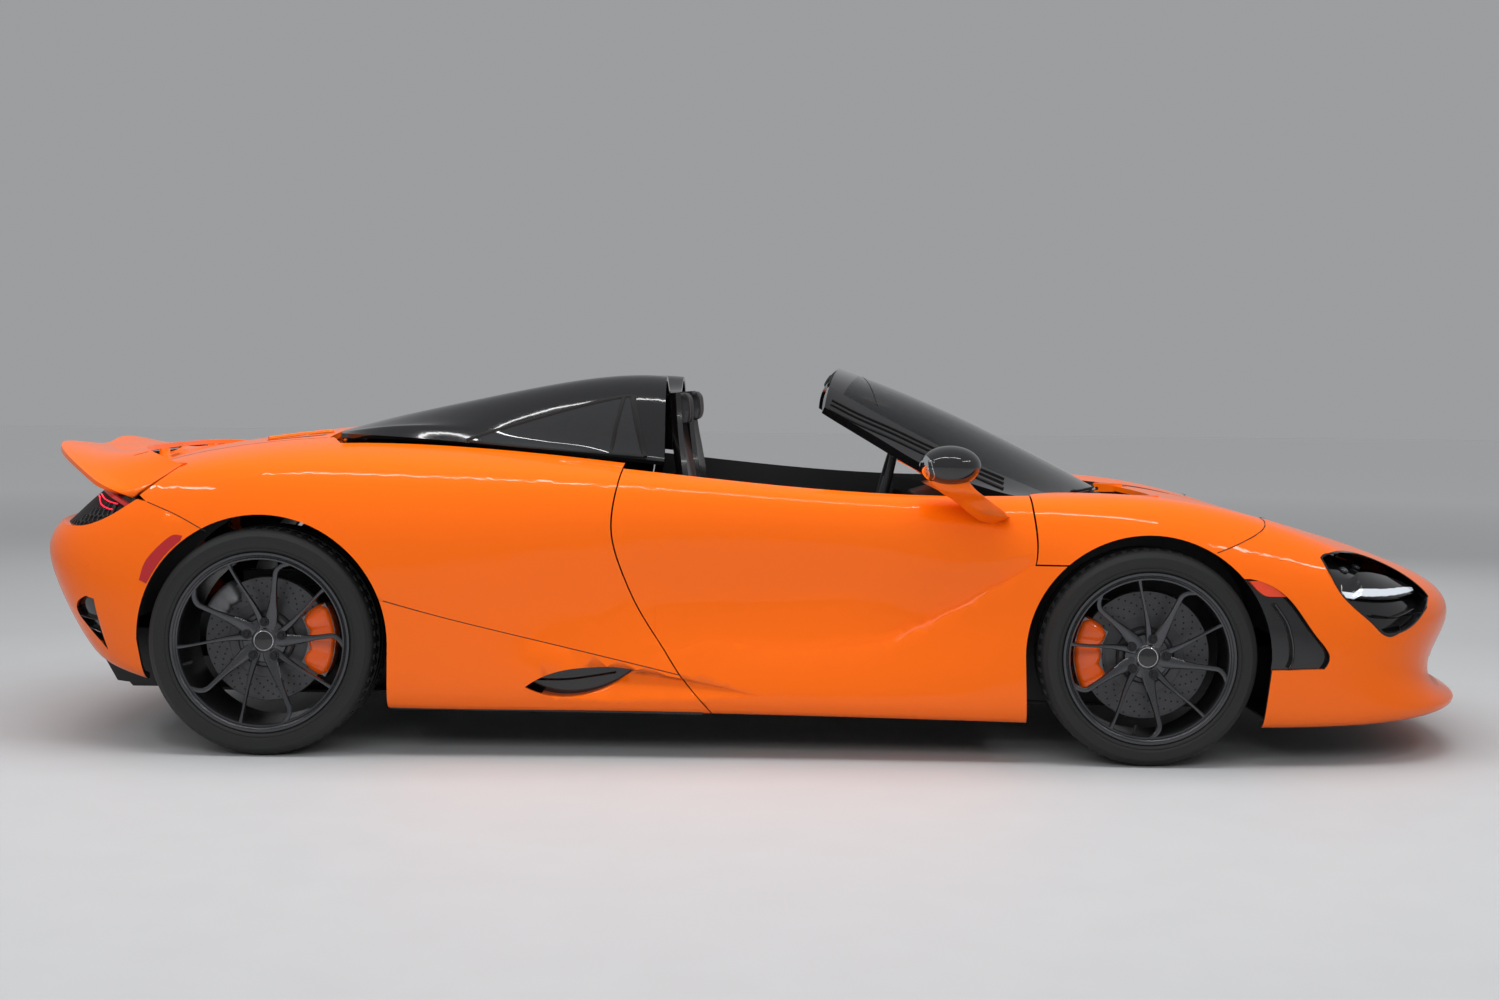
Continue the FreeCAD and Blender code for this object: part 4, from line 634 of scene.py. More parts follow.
def make_disc(corner):
    centre = disc_centre(corner)
    side, reach = CORNERS[corner]["side"], CORNERS[corner]["disc"]
    plates = bmesh.new()
    sections = [([(0.118, low), (0.118, high), (reach - 0.002, high), (reach, high - 0.002),
                  (reach, low + 0.002), (reach - 0.002, low)], 72)
                for low, high in ((-0.032, -0.021), (-0.011, 0.0))]
    sections.append(([(0.120, -0.020), (0.120, -0.012), (reach - 0.006, -0.012),
                      (reach - 0.006, -0.020)], 72))
    sections.append((DISC_HAT, 60))
    for section, steps in sections:
        turned(plates, [(r, side * y) for r, y in section], centre, steps)
    add_piece(plates, "disc_" + corner, disc_metal, "wheel_" + corner, 30.0,
              ["brake_disc_" + corner])


print("front disc across", 2 * FRONT["disc"])

# %% Drilled holes
# painted shade: each hole is a near-black circle coloured as the shade inside a drilled hole
hole_shade = finish("hole_shade", (0.004, 0.004, 0.004), (0.008, 0.008, 0.008), (0.7, 0.8), 200.0)
HOLE_ARMS = 24
HOLE_ROWS = 6


def make_disc_holes(corner):
    centre = disc_centre(corner)
    side, reach = CORNERS[corner]["side"], CORNERS[corner]["disc"]
    holes = bmesh.new()
    for arm in range(HOLE_ARMS):
        for row in range(HOLE_ROWS):
            angle = 2 * math.pi * arm / HOLE_ARMS + 0.09 * row
            out = mixed(0.129, reach - 0.009, row / (HOLE_ROWS - 1))
            spot = Vector((centre[0] + out * math.cos(angle), centre[1] + side * 0.0002,
                           centre[2] + out * math.sin(angle)))
            stand = Matrix.Translation(spot) @ Matrix.Rotation(-side * math.pi / 2, 4, "X")
            bmesh.ops.create_circle(holes, cap_ends=True, segments=8, radius=0.0030,
                                    matrix=stand)
    bmesh.ops.recalc_face_normals(holes, faces=holes.faces)
    for face in holes.faces:
        if face.normal.y * side < 0:
            face.normal_flip()
    add_piece(holes, "disc_holes_" + corner, hole_shade, "wheel_" + corner, 30.0)


for corner in CORNERS:
    make_disc(corner)
    make_disc_holes(corner)
print("discs", len(CORNERS))

# %% [markdown]
# Calipers. The orange block grips the disc's edge over its pistons. It is a grid rolled into a
# squared tube and bent round the disc, and it swells over each piston. The rear wheels have a
# second small one for parking.
# %% Calipers
caliper_orange = finish("caliper_orange", (1.0, 0.13, 0.0), (0.9, 0.10, 0.0), (0.25, 0.35), 400.0,
                        coat=0.6)
CALIPER_BACK = -0.0660


def caliper_form(corner, middle, half_span, low, high, proud, lobes):
    centre = disc_centre(corner)
    side = CORNERS[corner]["side"]

    def place(u, v):
        angle = math.radians(middle + half_span * (2 * u - 1))
        fat, up = squared(2 * math.pi * v, 0.45)
        end = math.sqrt(min(1.0, (1 - abs(2 * u - 1)) * 5.5))
        lobe = abs(math.sin(math.pi * lobes * u))
        swell = 0.82 + 0.18 * lobe if fat < 0 else 1
        radius = (low + high) / 2 + (high - low) / 2 * fat * (0.55 + 0.45 * end) * swell
        outer = proud * (0.45 + 0.55 * end) * (0.88 + 0.12 * lobe)
        y = (CALIPER_BACK + outer) / 2 + (outer - CALIPER_BACK) / 2 * up
        return Vector((centre[0] + radius * math.cos(angle), centre[1] + side * y,
                       centre[2] + radius * math.sin(angle)))

    return place


for corner, parts in CORNERS.items():
    front = corner.startswith("front")
    reach = parts["disc"]
    shape = bmesh.new()
    block = caliper_form(corner, parts["caliper_turn"], 34.0, reach - 0.064, reach + 0.024,
                         0.030, 3)
    bent_grid(shape, block, 48, 28, cap=True)
    add_piece(shape, "caliper_" + corner, caliper_orange,
              "upright_" + corner if front else CHASSIS)
    if not front:
        small = bmesh.new()
        block = caliper_form(corner, 138.0, 17.0, reach - 0.050, reach + 0.020, 0.024, 2)
        bent_grid(small, block, 24, 20, cap=True)
        add_piece(small, "parking_caliper_" + corner, cast_metal)
print("calipers on", len(CORNERS), "corners")

# %% [markdown]
# A real panel is painted on its face and dark behind, where the arch liners and door cards are. A
# face of a panel belongs to the back when it looks toward the middle of the car and a ray from it
# meets a panel far across the car. Those faces take the black lining instead of the paint.
# %% The skin as a tree for rays
def surface_tree(pieces):
    spots = []
    loops = []
    for piece in pieces:
        start = len(spots)
        spots += [vert.co.copy() for vert in piece.data.vertices]
        loops += [[start + i for i in face.vertices] for face in piece.data.polygons]
    return BVHTree.FromPolygons(spots, loops)


shell = surface_tree(panels.values())
print("skin of", sum(len(piece.data.polygons) for piece in panels.values()), "faces")

# %% Which faces lie behind the skin
BESIDE_CAR = 1.4
ARCH_WIDE, ARCH_TIGHT = 0.50, 0.46
LEVEL_NORMAL = 0.35
FAR_ACROSS = 0.35
CORE_END, CORE_HEIGHT = 1.6, 0.46


def inside_arch(middle, normal):
    for axle in (FRONT["axle"], REAR["axle"]):
        out = Vector((middle.x - axle[0], 0, middle.z - axle[2]))
        if out.length < ARCH_WIDE and normal.dot(out.normalized()) < -0.30:
            return True
        if out.length < ARCH_TIGHT and normal.z < LEVEL_NORMAL:
            start = Vector((middle.x, math.copysign(BESIDE_CAR, middle.y), middle.z))
            seen = shell.ray_cast(start, Vector((0, math.copysign(1, -middle.y), 0)))[0]
            if seen is None or abs(middle.y) < abs(seen.y) - 0.02:
                return True
    return False


def behind_skin(node, middle, normal):
    if node == "rear_wing":
        return False
    if node in ("bonnet", "rear_deck"):
        return normal.z < -0.25
    if inside_arch(middle, normal):
        return True
    if node == "front_bumper" and middle.z < 0.34 and middle.x > 1.85:
        return False
    side = 1 if middle.y > 0 else -1
    inward = normal.y * side < 0.10 and normal.z < LEVEL_NORMAL
    if inward and abs(middle.x) < 2.0 and middle.z > 0.14:
        beside = middle + Vector((0, side * 0.002, 0))
        if shell.ray_cast(beside, Vector((0, side, 0)))[0] is not None:
            return True
    core = Vector((min(CORE_END, max(-CORE_END, middle.x)), 0, CORE_HEIGHT))
    if normal.dot(middle - core) >= 0:
        return False
    struck = shell.ray_cast(middle + normal * 0.001, normal)
    return struck[0] is not None and struck[3] > FAR_ACROSS


print("wing lined:", behind_skin("rear_wing", Vector(), DOWN))

# %% Backs of the panels
lining = finish("panel_lining", (0.010, 0.010, 0.011), (0.018, 0.018, 0.019), (0.50, 0.62),
                300.0, bump=0.3)
for node in PAINTED:
    data = panels[node].data
    data.materials.append(lining)
    hidden = [face for face in data.polygons if behind_skin(node, face.center, face.normal)]
    for face in hidden:
        face.material_index = 1
    print(node, "back faces", len(hidden))

# %% [markdown]
# Mirrors. The cap is gloss black and its arm is body colour, grown out of the door. Both are one
# CAD shape, so the faces below the cap's lower edge take the paint.
# %% Mirrors
CAP_FOOT = 0.832
ARM_END, ARM_CREST = 0.965, 0.856
for hand, side in HANDS:
    piece = joined_copy("mirror_" + hand, "mirror_" + hand + "_painted", hand + "_door",
                        gloss_black)
    piece.data.materials.append(orange_paint)
    for face in piece.data.polygons:
        middle = face.center
        if middle.z < CAP_FOOT or (abs(middle.y) < ARM_END and middle.z < ARM_CREST):
            face.material_index = 1
    print(piece.name, sum(face.material_index for face in piece.data.polygons), "painted")

# %% [markdown]
# Wheel arch liners. On the real car a black moulded shell closes each arch above the tyre. It
# hangs just behind the arch edge and far enough from the tyre for the wheel to steer under it.
# %% Arch liners
def slab(shape, place, along, across, deep):
    made = bent_grid(shape, place, along, across)
    bmesh.ops.solidify(shape, geom=faces_of(made), thickness=deep)
    bmesh.ops.recalc_face_normals(shape, faces=shape.faces)


def liner_form(corner):
    side, reach = CORNERS[corner]["side"], CORNERS[corner]["liner"]
    axle = CORNERS[corner]["axle"]

    def place(u, v):
        angle = math.radians(mixed(10.0, 170.0, u))
        x = axle[0] + reach * math.cos(angle)
        z = axle[2] + reach * math.sin(angle)
        struck = shell.ray_cast(Vector((x, side * BESIDE_CAR, z)), Vector((0, -side, 0)))[0]
        outer = 0.88
        if struck is not None and abs(struck.y) > 0.7:
            outer = min(0.94, abs(struck.y) - 0.012)
        return Vector((x, side * mixed(0.55, outer, v), z))

    return place


for corner in CORNERS:
    liner = bmesh.new()
    slab(liner, liner_form(corner), 48, 6, 0.002)
    add_piece(liner, "arch_liner_" + corner, lining)
print("arch liners", len(CORNERS))

# %% [markdown]
# Small trim lies on the panels: shut lines, seals, markers, slits. Its places are given in side
# view or plan and carried onto the panel by a ray, so each piece follows the curved skin. Three
# rays side by side are cast and the outermost hit is kept, because one alone may slip into a gap.
# Where all three miss, further ones are tried beside them.
# %% Finding places on the skin
NUDGES = (-0.0015, 0.0, 0.0015, -0.004, 0.004, -0.009, 0.009, -0.018, 0.018, -0.03, 0.03)
CLOSE_NUDGE = 0.002
ABOVE_CAR = 1.5


def outermost(start_at, way, tree, height):
    found = None
    for nudge in NUDGES:
        if found and abs(nudge) > CLOSE_NUDGE:
            break
        spot, normal = (tree or shell).ray_cast(start_at(nudge), way)[:2]
        if spot is not None and (found is None or height(spot) > height(found[0])):
            found = (spot, normal if normal.dot(way) < 0 else -normal)
    return found


def on_side(x, z, side, lift=0.0, tree=None):
    found = outermost(lambda nudge: Vector((x, side * BESIDE_CAR, z + nudge)),
                      Vector((0, -side, 0)), tree, lambda spot: abs(spot.y))
    if found is None:
        return None
    spot, normal = found
    return Vector((x, spot.y, z)) + normal * lift, normal


def on_top(x, y, lift=0.0, tree=None):
    found = outermost(lambda nudge: Vector((x, y + nudge, ABOVE_CAR)), DOWN, tree,
                      lambda spot: spot.z)
    if found is None:
        return None
    spot, normal = found
    return Vector((x, y, spot.z)) + normal * lift, normal


def side_finder(side, tree=None, level=None):
    def find(x, z, lift=0.0):
        height = z if level is None else max(z, level)
        spot, normal = on_side(x, height, side, 0.0, tree)
        return Vector((x, spot.y, z)) + normal * lift, normal

    return find


def node_tree_of(*names):
    return surface_tree([nodes[name] for name in names])


print("door skin at", brief(on_side(0.2, 0.6, -1)[0]))

# %% [markdown]
# A few points read off the photograph are enough for a line of trim. A soft curve is run through
# them. A bead is a grid rolled round such a line, and a patch is a thin slab between two lines.
# The points are in millimetres, and a small lift brings heights read off the photograph to the
# car's own.
# %% Soft lines
LIFT = 0.009


def drawn(points):
    return [(x / 1000, z / 1000 + LIFT) for x, z in points]


def smooth_line(points, count):
    line = [Vector(point) for point in points]
    made = []
    for i in range(count + 1):
        at = i / count * (len(line) - 1)
        k = min(int(at), len(line) - 2)
        t = at - k
        a = line[max(0, k - 1)]
        b = line[k]
        c = line[k + 1]
        d = line[min(len(line) - 1, k + 2)]
        double = (2 * b + (c - a) * t + (2 * a - 5 * b + 4 * c - d) * t * t
                  + (3 * b - a - 3 * c + d) * t ** 3)
        made.append(0.5 * double)
    return made


print("a line of", len(smooth_line(((0, 0), (1, 1), (2, 0)), 24)), "spots")

# %% Beads and patches
BEAD_STEPS = 8


def bead(shape, found, wide, high, around=BEAD_STEPS):
    spots = [spot for spot in found if spot]
    count = len(spots) - 1

    def place(u, v):
        k = min(count, int(round(u * count)))
        spot, normal = spots[k]
        run = (spots[min(count, k + 1)][0] - spots[max(0, k - 1)][0]).normalized()
        across = normal.cross(run).normalized()
        roll = 2 * math.pi * v
        return (spot + across * (wide / 2 * math.cos(roll))
                + normal * (high / 2 * math.sin(roll)))

    bent_grid(shape, place, count, around, cap=True)


def patch(shape, upper, lower, find, along, across, lift, deep):
    tops = smooth_line(upper, along)
    lows = smooth_line(lower, along)

    def place(u, v):
        k = int(round(u * along))
        spot = mixed(lows[k], tops[k], v)
        return find(spot.x, spot.y, lift)[0]

    made = bent_grid(shape, place, along, across)
    faces = faces_of(made)
    mid = mixed(lows[along // 2], tops[along // 2], 0.5)
    outward = find(mid.x, mid.y, lift)[1]
    if sum(face.normal.dot(outward) for face in faces) < 0:
        bmesh.ops.reverse_faces(shape, faces=faces)
    bmesh.ops.solidify(shape, geom=faces, thickness=deep)
    island = faces_of([vert for vert in made if vert.is_valid])
    bmesh.ops.recalc_face_normals(shape, faces=island)


print("a bead has", BEAD_STEPS, "sides")

# %% [markdown]
# Mirror arms. The real arm is a broad leaf in body colour: it grows out of the door skin and wraps
# the lower corner of the black cap. Its two edges are given in side view, and its root follows the
# skin.
# %% Mirror arms
ARM_STEPS = 30
ARM_REACH = 1.016
ARM_LOW = drawn([(712, 714), (678, 721), (640, 746), (589, 788), (545, 816), (512, 846)])
ARM_TOP = drawn([(716, 714), (756, 730), (742, 755), (698, 788), (655, 820), (632, 846)])


def arm_form(hand, side):
    door_tree = surface_tree([panels["door_" + hand]])
    lows = smooth_line(ARM_LOW, ARM_STEPS)
    tops = smooth_line(ARM_TOP, ARM_STEPS)

    def place(u, v):
        k = int(round(u * ARM_STEPS))
        roll = 2 * math.pi * v
        flat = mixed(lows[k], tops[k], 0.5 + 0.5 * math.cos(roll))
        found = on_side(flat.x, flat.y, side, 0.0, door_tree)
        skin = abs(found[0].y) - 0.004 if found else 0.90
        middle = mixed(skin, ARM_REACH, eased(min(1.0, u * 1.15)))
        thick = mixed(0.004, 0.019, eased(min(1.0, u * 3.0)))
        return Vector((flat.x, side * (middle + thick * math.sin(roll)), flat.y))

    return place


for hand, side in HANDS:
    arm = bmesh.new()
    bent_grid(arm, arm_form(hand, side), ARM_STEPS, 24, cap=True)
    add_piece(arm, "mirror_arm_" + hand, orange_paint, hand + "_door", 50.0)
print("mirror arms", len(HANDS))

# %% [markdown]
# Shut lines of the fixed panels. On the real car two panels meet with a dark gap of some three
# millimetres, sealed behind. The CAD panels meet closely, so a thin dark bead lies in each joint.
# %% Shut lines
shut_dark = finish("shut_dark", (0.004, 0.004, 0.004), (0.007, 0.007, 0.007), (0.55, 0.65), 400.0)
SHUT_WIDE, SHUT_HIGH = 0.0026, 0.0007
DECK_SHUT = 0.6200
LOWER_SHUT = drawn([(-1112, 467), (-915, 413), (-613, 340), (-221, 248)])
FENDER_SHUT = drawn([(1381, 636), (1455, 664), (1531, 700), (1560, 730)])
TAIL_SHUT = drawn([(-1650, 668), (-1666, 677), (-1750, 718), (-1846, 753)])
for hand, side in HANDS:
    lines = bmesh.new()
    for points, count in ((LOWER_SHUT, 40), (FENDER_SHUT, 24), (TAIL_SHUT, 24)):
        line = [on_side(x, z, side) for x, z in smooth_line(points, count)]
        bead(lines, line, SHUT_WIDE, SHUT_HIGH)
    deck = [on_top(x, side * DECK_SHUT) for x in spaced(-1.965, -1.350, 40)]
    bead(lines, deck, SHUT_WIDE, SHUT_HIGH)
    add_piece(lines, "shut_lines_" + hand, shut_dark)
print("shut lines", len(HANDS))

# %% [markdown]
# Headlamps. Each is a deep black socket in the shape of an eye. A glossy blade crosses it and
# carries the bright daytime strip on its lower edge, two round lenses sit dark above it, and the
# lower half is an air inlet. The pieces follow the floor of the socket at a fixed height, and near
# its outer wall they run on at that depth until they meet the wall.
# %% Finishes and outlines of the headlamps
glow_white = finish("glow_white", (0.80, 0.82, 0.86), (0.70, 0.72, 0.76), (0.12, 0.2), 300.0,
                    metallic=0.6, coat=0.5, glow=((0.8, 0.9, 1.0), 0.35))
lens_dark = finish("lens_dark", (0.02, 0.022, 0.026), (0.04, 0.042, 0.048), (0.04, 0.08), 200.0,
                   coat=1.0)
LAMP_RIM = drawn([(1707, 620), (1740, 630), (1870, 617), (2002, 562), (2088, 489), (2061, 450),
                  (1950, 388), (1904, 387), (1856, 429), (1770, 504), (1732, 569), (1707, 620)])
LAMP_MIDDLE = (1.890, 0.519)
BLADE_TOP = drawn([(1738, 556), (1800, 552), (1870, 545), (1950, 525), (2030, 496)])
BLADE_LOW = drawn([(1775, 508), (1820, 492), (1880, 484), (1950, 480), (2030, 482)])
STRIP_TOP = drawn([(1763, 517), (1826, 511), (1900, 503), (1974, 498), (2020, 492)])
STRIP_LOW = drawn([(1773, 502), (1833, 492), (1900, 487), (1974, 485), (2020, 486)])
LENSES = drawn([(1800, 574), (1868, 570)])
# points, steps, height over the socket's floor, width and depth
LAMP_RIBS = ((drawn([(1760, 600), (1860, 588), (1960, 556)]), 20, 0.010, 0.010, 0.016),
             (drawn([(1868, 440), (1940, 432), (2010, 448)]), 16, 0.012, 0.008, 0.020))
print("lamp rim drawn by", len(LAMP_RIM), "points")

# %% The floor of a headlamp's socket
SOCKET_WALL = 1.815
socket_tree = node_tree_of("headlamps")


def lamp_finder(side):
    bare = side_finder(side, socket_tree)

    def find(x, z, lift=0.0):
        spot, normal = bare(x, z)
        if x >= SOCKET_WALL:
            return spot + normal * lift, normal
        floor_spot, floor_normal = bare(SOCKET_WALL, z)
        reach = max(abs(spot.y) + 0.0015, abs(floor_spot.y + floor_normal.y * lift))
        return Vector((x, side * reach, z)), floor_normal

    return find


print("first lens at", brief(lamp_finder(-1)(*LENSES[0])[0]))

# %% Headlamps
for hand, side in HANDS:
    find = lamp_finder(side)
    blade = bmesh.new()
    patch(blade, BLADE_TOP, BLADE_LOW, find, 30, 6, 0.026, 0.012)
    for points, count, lift, wide, high in LAMP_RIBS:
        bead(blade, [find(x, z, lift) for x, z in smooth_line(points, count)], wide, high)
    add_piece(blade, "lamp_blade_" + hand, gloss_black, smooth=35.0)
    strip = bmesh.new()
    patch(strip, STRIP_TOP, STRIP_LOW, find, 30, 3, 0.030, 0.004)
    add_piece(strip, "day_strip_" + hand, glow_white, smooth=35.0)
    rim = bmesh.new()
    edge = [on_side(mixed(x, LAMP_MIDDLE[0], 0.016), mixed(z, LAMP_MIDDLE[1], 0.016), side, 0.0,
                    socket_tree) for x, z in smooth_line(LAMP_RIM, 90)]
    bead(rim, edge, 0.007, 0.003)
    add_piece(rim, "lamp_rim_" + hand, soft_seal)
    lenses = bmesh.new()
    for x, z in LENSES:
        stand = standing(*find(x, z, 0.004))
        made = bmesh.ops.create_uvsphere(lenses, u_segments=24, v_segments=12, radius=0.016)
        for vert in made["verts"]:
            vert.co = stand @ Vector((vert.co.x, vert.co.y, vert.co.z * 0.55))
    add_piece(lenses, "lamp_lenses_" + hand, lens_dark)
print("headlamps", len(HANDS))

# %% [markdown]
# Markers and sensors. An amber lamp caps the dark duct behind the nose, a red one follows the rear
# arch, and a small round parking sensor sits below each headlamp and in each rear corner. Each is
# laid on the skin it is set in, because a lamp drawn flat would stand off the curved panel.
# %% Markers
amber_lens = finish("amber_lens", (0.62, 0.030, 0.004), (0.45, 0.015, 0.003), (0.10, 0.18), 160.0,
                    coat=0.8, glow=((1.0, 0.10, 0.01), 0.25))
red_lens = finish("red_lens", (0.36, 0.004, 0.006), (0.24, 0.003, 0.004), (0.10, 0.18), 160.0,
                  coat=0.8, glow=((1.0, 0.02, 0.03), 0.12))
AMBER_TOP = drawn([(1478, 553), (1530, 553), (1572, 540), (1606, 508)])
AMBER_LOW = drawn([(1500, 528), (1527, 509), (1565, 506), (1600, 505)])
AMBER_LEVEL = 0.573
RED_OUT = drawn([(-1724, 655), (-1764, 651), (-1835, 582), (-1859, 519)])
RED_IN = drawn([(-1729, 641), (-1771, 603), (-1805, 560), (-1836, 509)])
SENSORS = drawn([(1950, 368), (-2040, 560)])
for hand, side in HANDS:
    lens = bmesh.new()
    patch(lens, AMBER_TOP, AMBER_LOW, side_finder(side, level=AMBER_LEVEL), 20, 6, 0.0006, 0.020)
    add_piece(lens, "amber_marker_" + hand, amber_lens)
    lens = bmesh.new()
    patch(lens, RED_OUT, RED_IN, side_finder(side), 24, 5, 0.0015, 0.008)
    add_piece(lens, "red_marker_" + hand, red_lens)
    sensor = bmesh.new()
    for x, z in SENSORS:
        cone(sensor, standing(*on_side(x, z, side)), 24, 0.0085, 0.0080, 0.0012)
    add_piece(sensor, "park_sensors_" + hand, orange_paint, smooth=30.0)
print("markers", len(HANDS))

# %% [markdown]
# Ducts. The dark duct behind the nose has one upright vane, the corner vents at the tail have two
# slanted ones, and the side inlet has a splitter. Each vane is a bead much deeper than it is wide.
# %% Duct vanes
lining_tree = node_tree_of("duct_linings")
# points, steps, height over the lining, width and depth
VANES = ((drawn([(1552, 484), (1590, 430), (1608, 370), (1610, 320), (1600, 292)]), 24, 0.004,
          0.012, 0.030),
         (drawn([(-2078, 404), (-2040, 396), (-1996, 392)]), 16, 0.004, 0.007, 0.024),
         (drawn([(-2056, 372), (-2020, 362), (-1988, 352)]), 16, 0.004, 0.007, 0.024),
         (drawn([(-660, 222), (-560, 224), (-420, 246)]), 20, 0.003, 0.006, 0.020))
for hand, side in HANDS:
    vanes = bmesh.new()
    for points, count, lift, wide, high in VANES:
        line = [on_side(x, z, side, lift, lining_tree) for x, z in smooth_line(points, count)]
        bead(vanes, line, wide, high, 12)
    add_piece(vanes, "duct_vanes_" + hand, gloss_black)
print("vanes", len(VANES), "each side")

# %% [markdown]
# Tail. Black honeycomb fills the space between the bumper and the wing. Six corners of each cell
# are carried onto the CAD panel by rays, and a thin wall is left between the cells with inset. The
# CAD panel itself is painted near black as painted shade, standing for the shade behind the open
# net. A texture would look flat here, because the net stands clear of that dark back.
# %% Measuring round the tail
net_black = finish("net_black", (0.020, 0.020, 0.022), (0.045, 0.045, 0.048), (0.25, 0.35), 300.0,
                   metallic=0.3)
# painted shade: the CAD mesh panel is coloured near black for the shade behind the open net
shade_back = finish("shade_back", (0.003, 0.003, 0.003), (0.006, 0.006, 0.006), (0.6, 0.7), 200.0)
dress("tail_mesh", shade_back)
mesh_tree = node_tree_of("tail_mesh")
TAIL_MIDDLE = -1.55
TAIL_REACH = 1.4
GIRTH_START = 0.12
GIRTH_LEVELS = (0.70, 0.78)
GIRTH_STEP = math.radians(0.25)


def mesh_ray(angle, z):
    out = Vector((-math.cos(angle), math.sin(angle), 0))
    start = Vector((TAIL_MIDDLE, 0, z)) + out * TAIL_REACH
    spot, normal = mesh_tree.ray_cast(start, -out)[:2]
    if spot is None:
        return None, None
    return spot, (normal if normal.dot(out) > 0 else -normal)


table = [(0.0, 0.0)]
last = mesh_ray(GIRTH_START, GIRTH_LEVELS[0])[0]
angle = GIRTH_START
while angle < math.radians(100):
    angle += GIRTH_STEP
    hits = [mesh_ray(angle, z)[0] for z in GIRTH_LEVELS]
    spot = hits[0] or hits[1]
    if spot is None:
        break
    table.append((table[-1][0] + (spot - last).length, angle))
    last = spot
girth = table[-1][0]


def angle_at(distance):
    for (a, low), (b, high) in zip(table, table[1:]):
        if b >= distance:
            return mixed(low, high, (distance - a) / max(b - a, 1e-6))
    return table[-1][1]


print("half girth of the tail", round(girth, 3))

# %% [markdown]
# A cell whose ray misses the panel is left out, and so is one that would be pulled long over an
# edge. The net then gets its thickness from a modifier, since all its walls are equally thin.
# %% Tail mesh
CELL = 0.0135
HEX_WIDTH = 1.732
NET_START, NET_FOOT = 0.03, 0.640
NET_CLEAR = 0.0040
NET_ROWS = 16


def cell_corners(side, along, up):
    corners = []
    for k in range(6):
        turn_here = math.radians(60 * k + 30)
        spot, normal = mesh_ray(side * angle_at(along + CELL * math.cos(turn_here)),
                                up + CELL * math.sin(turn_here))
        if spot is None or abs(normal.z) > 0.8:
            return []
        corners.append(spot + normal * NET_CLEAR)
    middle = sum(corners, Vector()) / 6
    if max((corner - middle).length for corner in corners) > CELL * 1.35:
        return []
    return corners


net = bmesh.new()
for side in (1, -1):
    for row in range(NET_ROWS):
        for column in range(int(girth / (CELL * HEX_WIDTH)) + 1):
            along = NET_START + (column + 0.5 * (row % 2)) * CELL * HEX_WIDTH
            corners = cell_corners(side, along, NET_FOOT + row * CELL * 1.5)
            if corners:
                net.faces.new([net.verts.new(corner) for corner in corners])
print("net cells", len(net.faces))
bmesh.ops.recalc_face_normals(net, faces=net.faces)
walls = bmesh.ops.inset_individual(net, faces=list(net.faces), thickness=0.0019,
                                   depth=0.0)["faces"]
open_faces = [face for face in net.faces if face not in walls]
bmesh.ops.delete(net, geom=open_faces, context="FACES")
bmesh.ops.remove_doubles(net, verts=net.verts, dist=0.0004)
net_piece = add_piece(net, "tail_net", net_black, smooth=30.0)
thicker = net_piece.modifiers.new("net_wall", "SOLIDIFY")
thicker.thickness = 0.0030
thicker.offset = 0.0

# %% [markdown]
# Tail lamps and pipes. Two thin red lines lie one over the other in each tail corner. The exhaust
# tips are turned: a rolled bright edge outside, a dark bore inside.
# %% Tail lamps and exhaust tips
red_glow = finish("red_glow", (0.9, 0.01, 0.02), (0.75, 0.006, 0.012), (0.15, 0.2), 200.0,
                  glow=((1.0, 0.01, 0.05), 1.4))
dress("tail_lamps", red_lens)
GLOW_LINES = (drawn([(-2072, 783), (-2035, 757), (-1994, 745), (-1944, 738)]),
              drawn([(-2063, 764), (-2029, 738), (-1997, 726), (-1966, 722)]))
TIP = ((0.0465, 0.000), (0.0475, -0.0035), (0.0500, -0.0050), (0.0518, -0.0030), (0.0522, 0.004),
       (0.0508, 0.030), (0.0504, 0.030), (0.0504, 0.004), (0.0470, 0.002))


def tail_line(points, side):
    rises = smooth_line(points, 60)
    line = []
    for turned_by in spaced(52.0, 99.0, 60):
        z = 0.76
        for _ in range(3):
            spot, normal = mesh_ray(side * math.radians(turned_by), z)
            if spot is None:
                break
            z = min(rises, key=lambda point: abs(point.x - spot.x)).y
        if spot is not None and rises[0].x < spot.x < rises[-1].x:
            line.append((spot + normal * 0.0055, normal))
    return line


for hand, side in HANDS:
    glow = bmesh.new()
    for points in GLOW_LINES:
        bead(glow, tail_line(points, side), 0.0040, 0.0030)
    add_piece(glow, "tail_lines_" + hand, red_glow)
pipes = bmesh.new()
for side in (1, -1):
    turned(pipes, [(r, y + 0.0055) for r, y in TIP], (-2.204, side * 0.092, 0.747), 64,
           along_x=True)
pipe_steel = finish("pipe_steel", (0.42, 0.41, 0.40), (0.30, 0.29, 0.28), (0.16, 0.26), 260.0,
                    metallic=1.0)
add_piece(pipes, "exhaust_tips", pipe_steel, smooth=35.0)
print("tail lines", len(GLOW_LINES), "each side")

# %% [markdown]
# Under the wing's front edge the real car has a black rubber step that closes the space between
# the deck and the mesh, and its lip stands just under the wing. It stays with the body when the
# wing rises.
# %% Wing seal
roof_tree = surface_tree([panels["rear_deck"], panels["rear_quarters"]])
wing_tree = surface_tree([panels["rear_wing"]])
SCAN = spaced(-1.80, -2.16, 90)


def heights_along(tree, y):
    hits = [(x, tree.ray_cast(Vector((x, y, 1.4)), DOWN)[0]) for x in SCAN]
    return [(x, spot.z) for x, spot in hits if spot is not None]


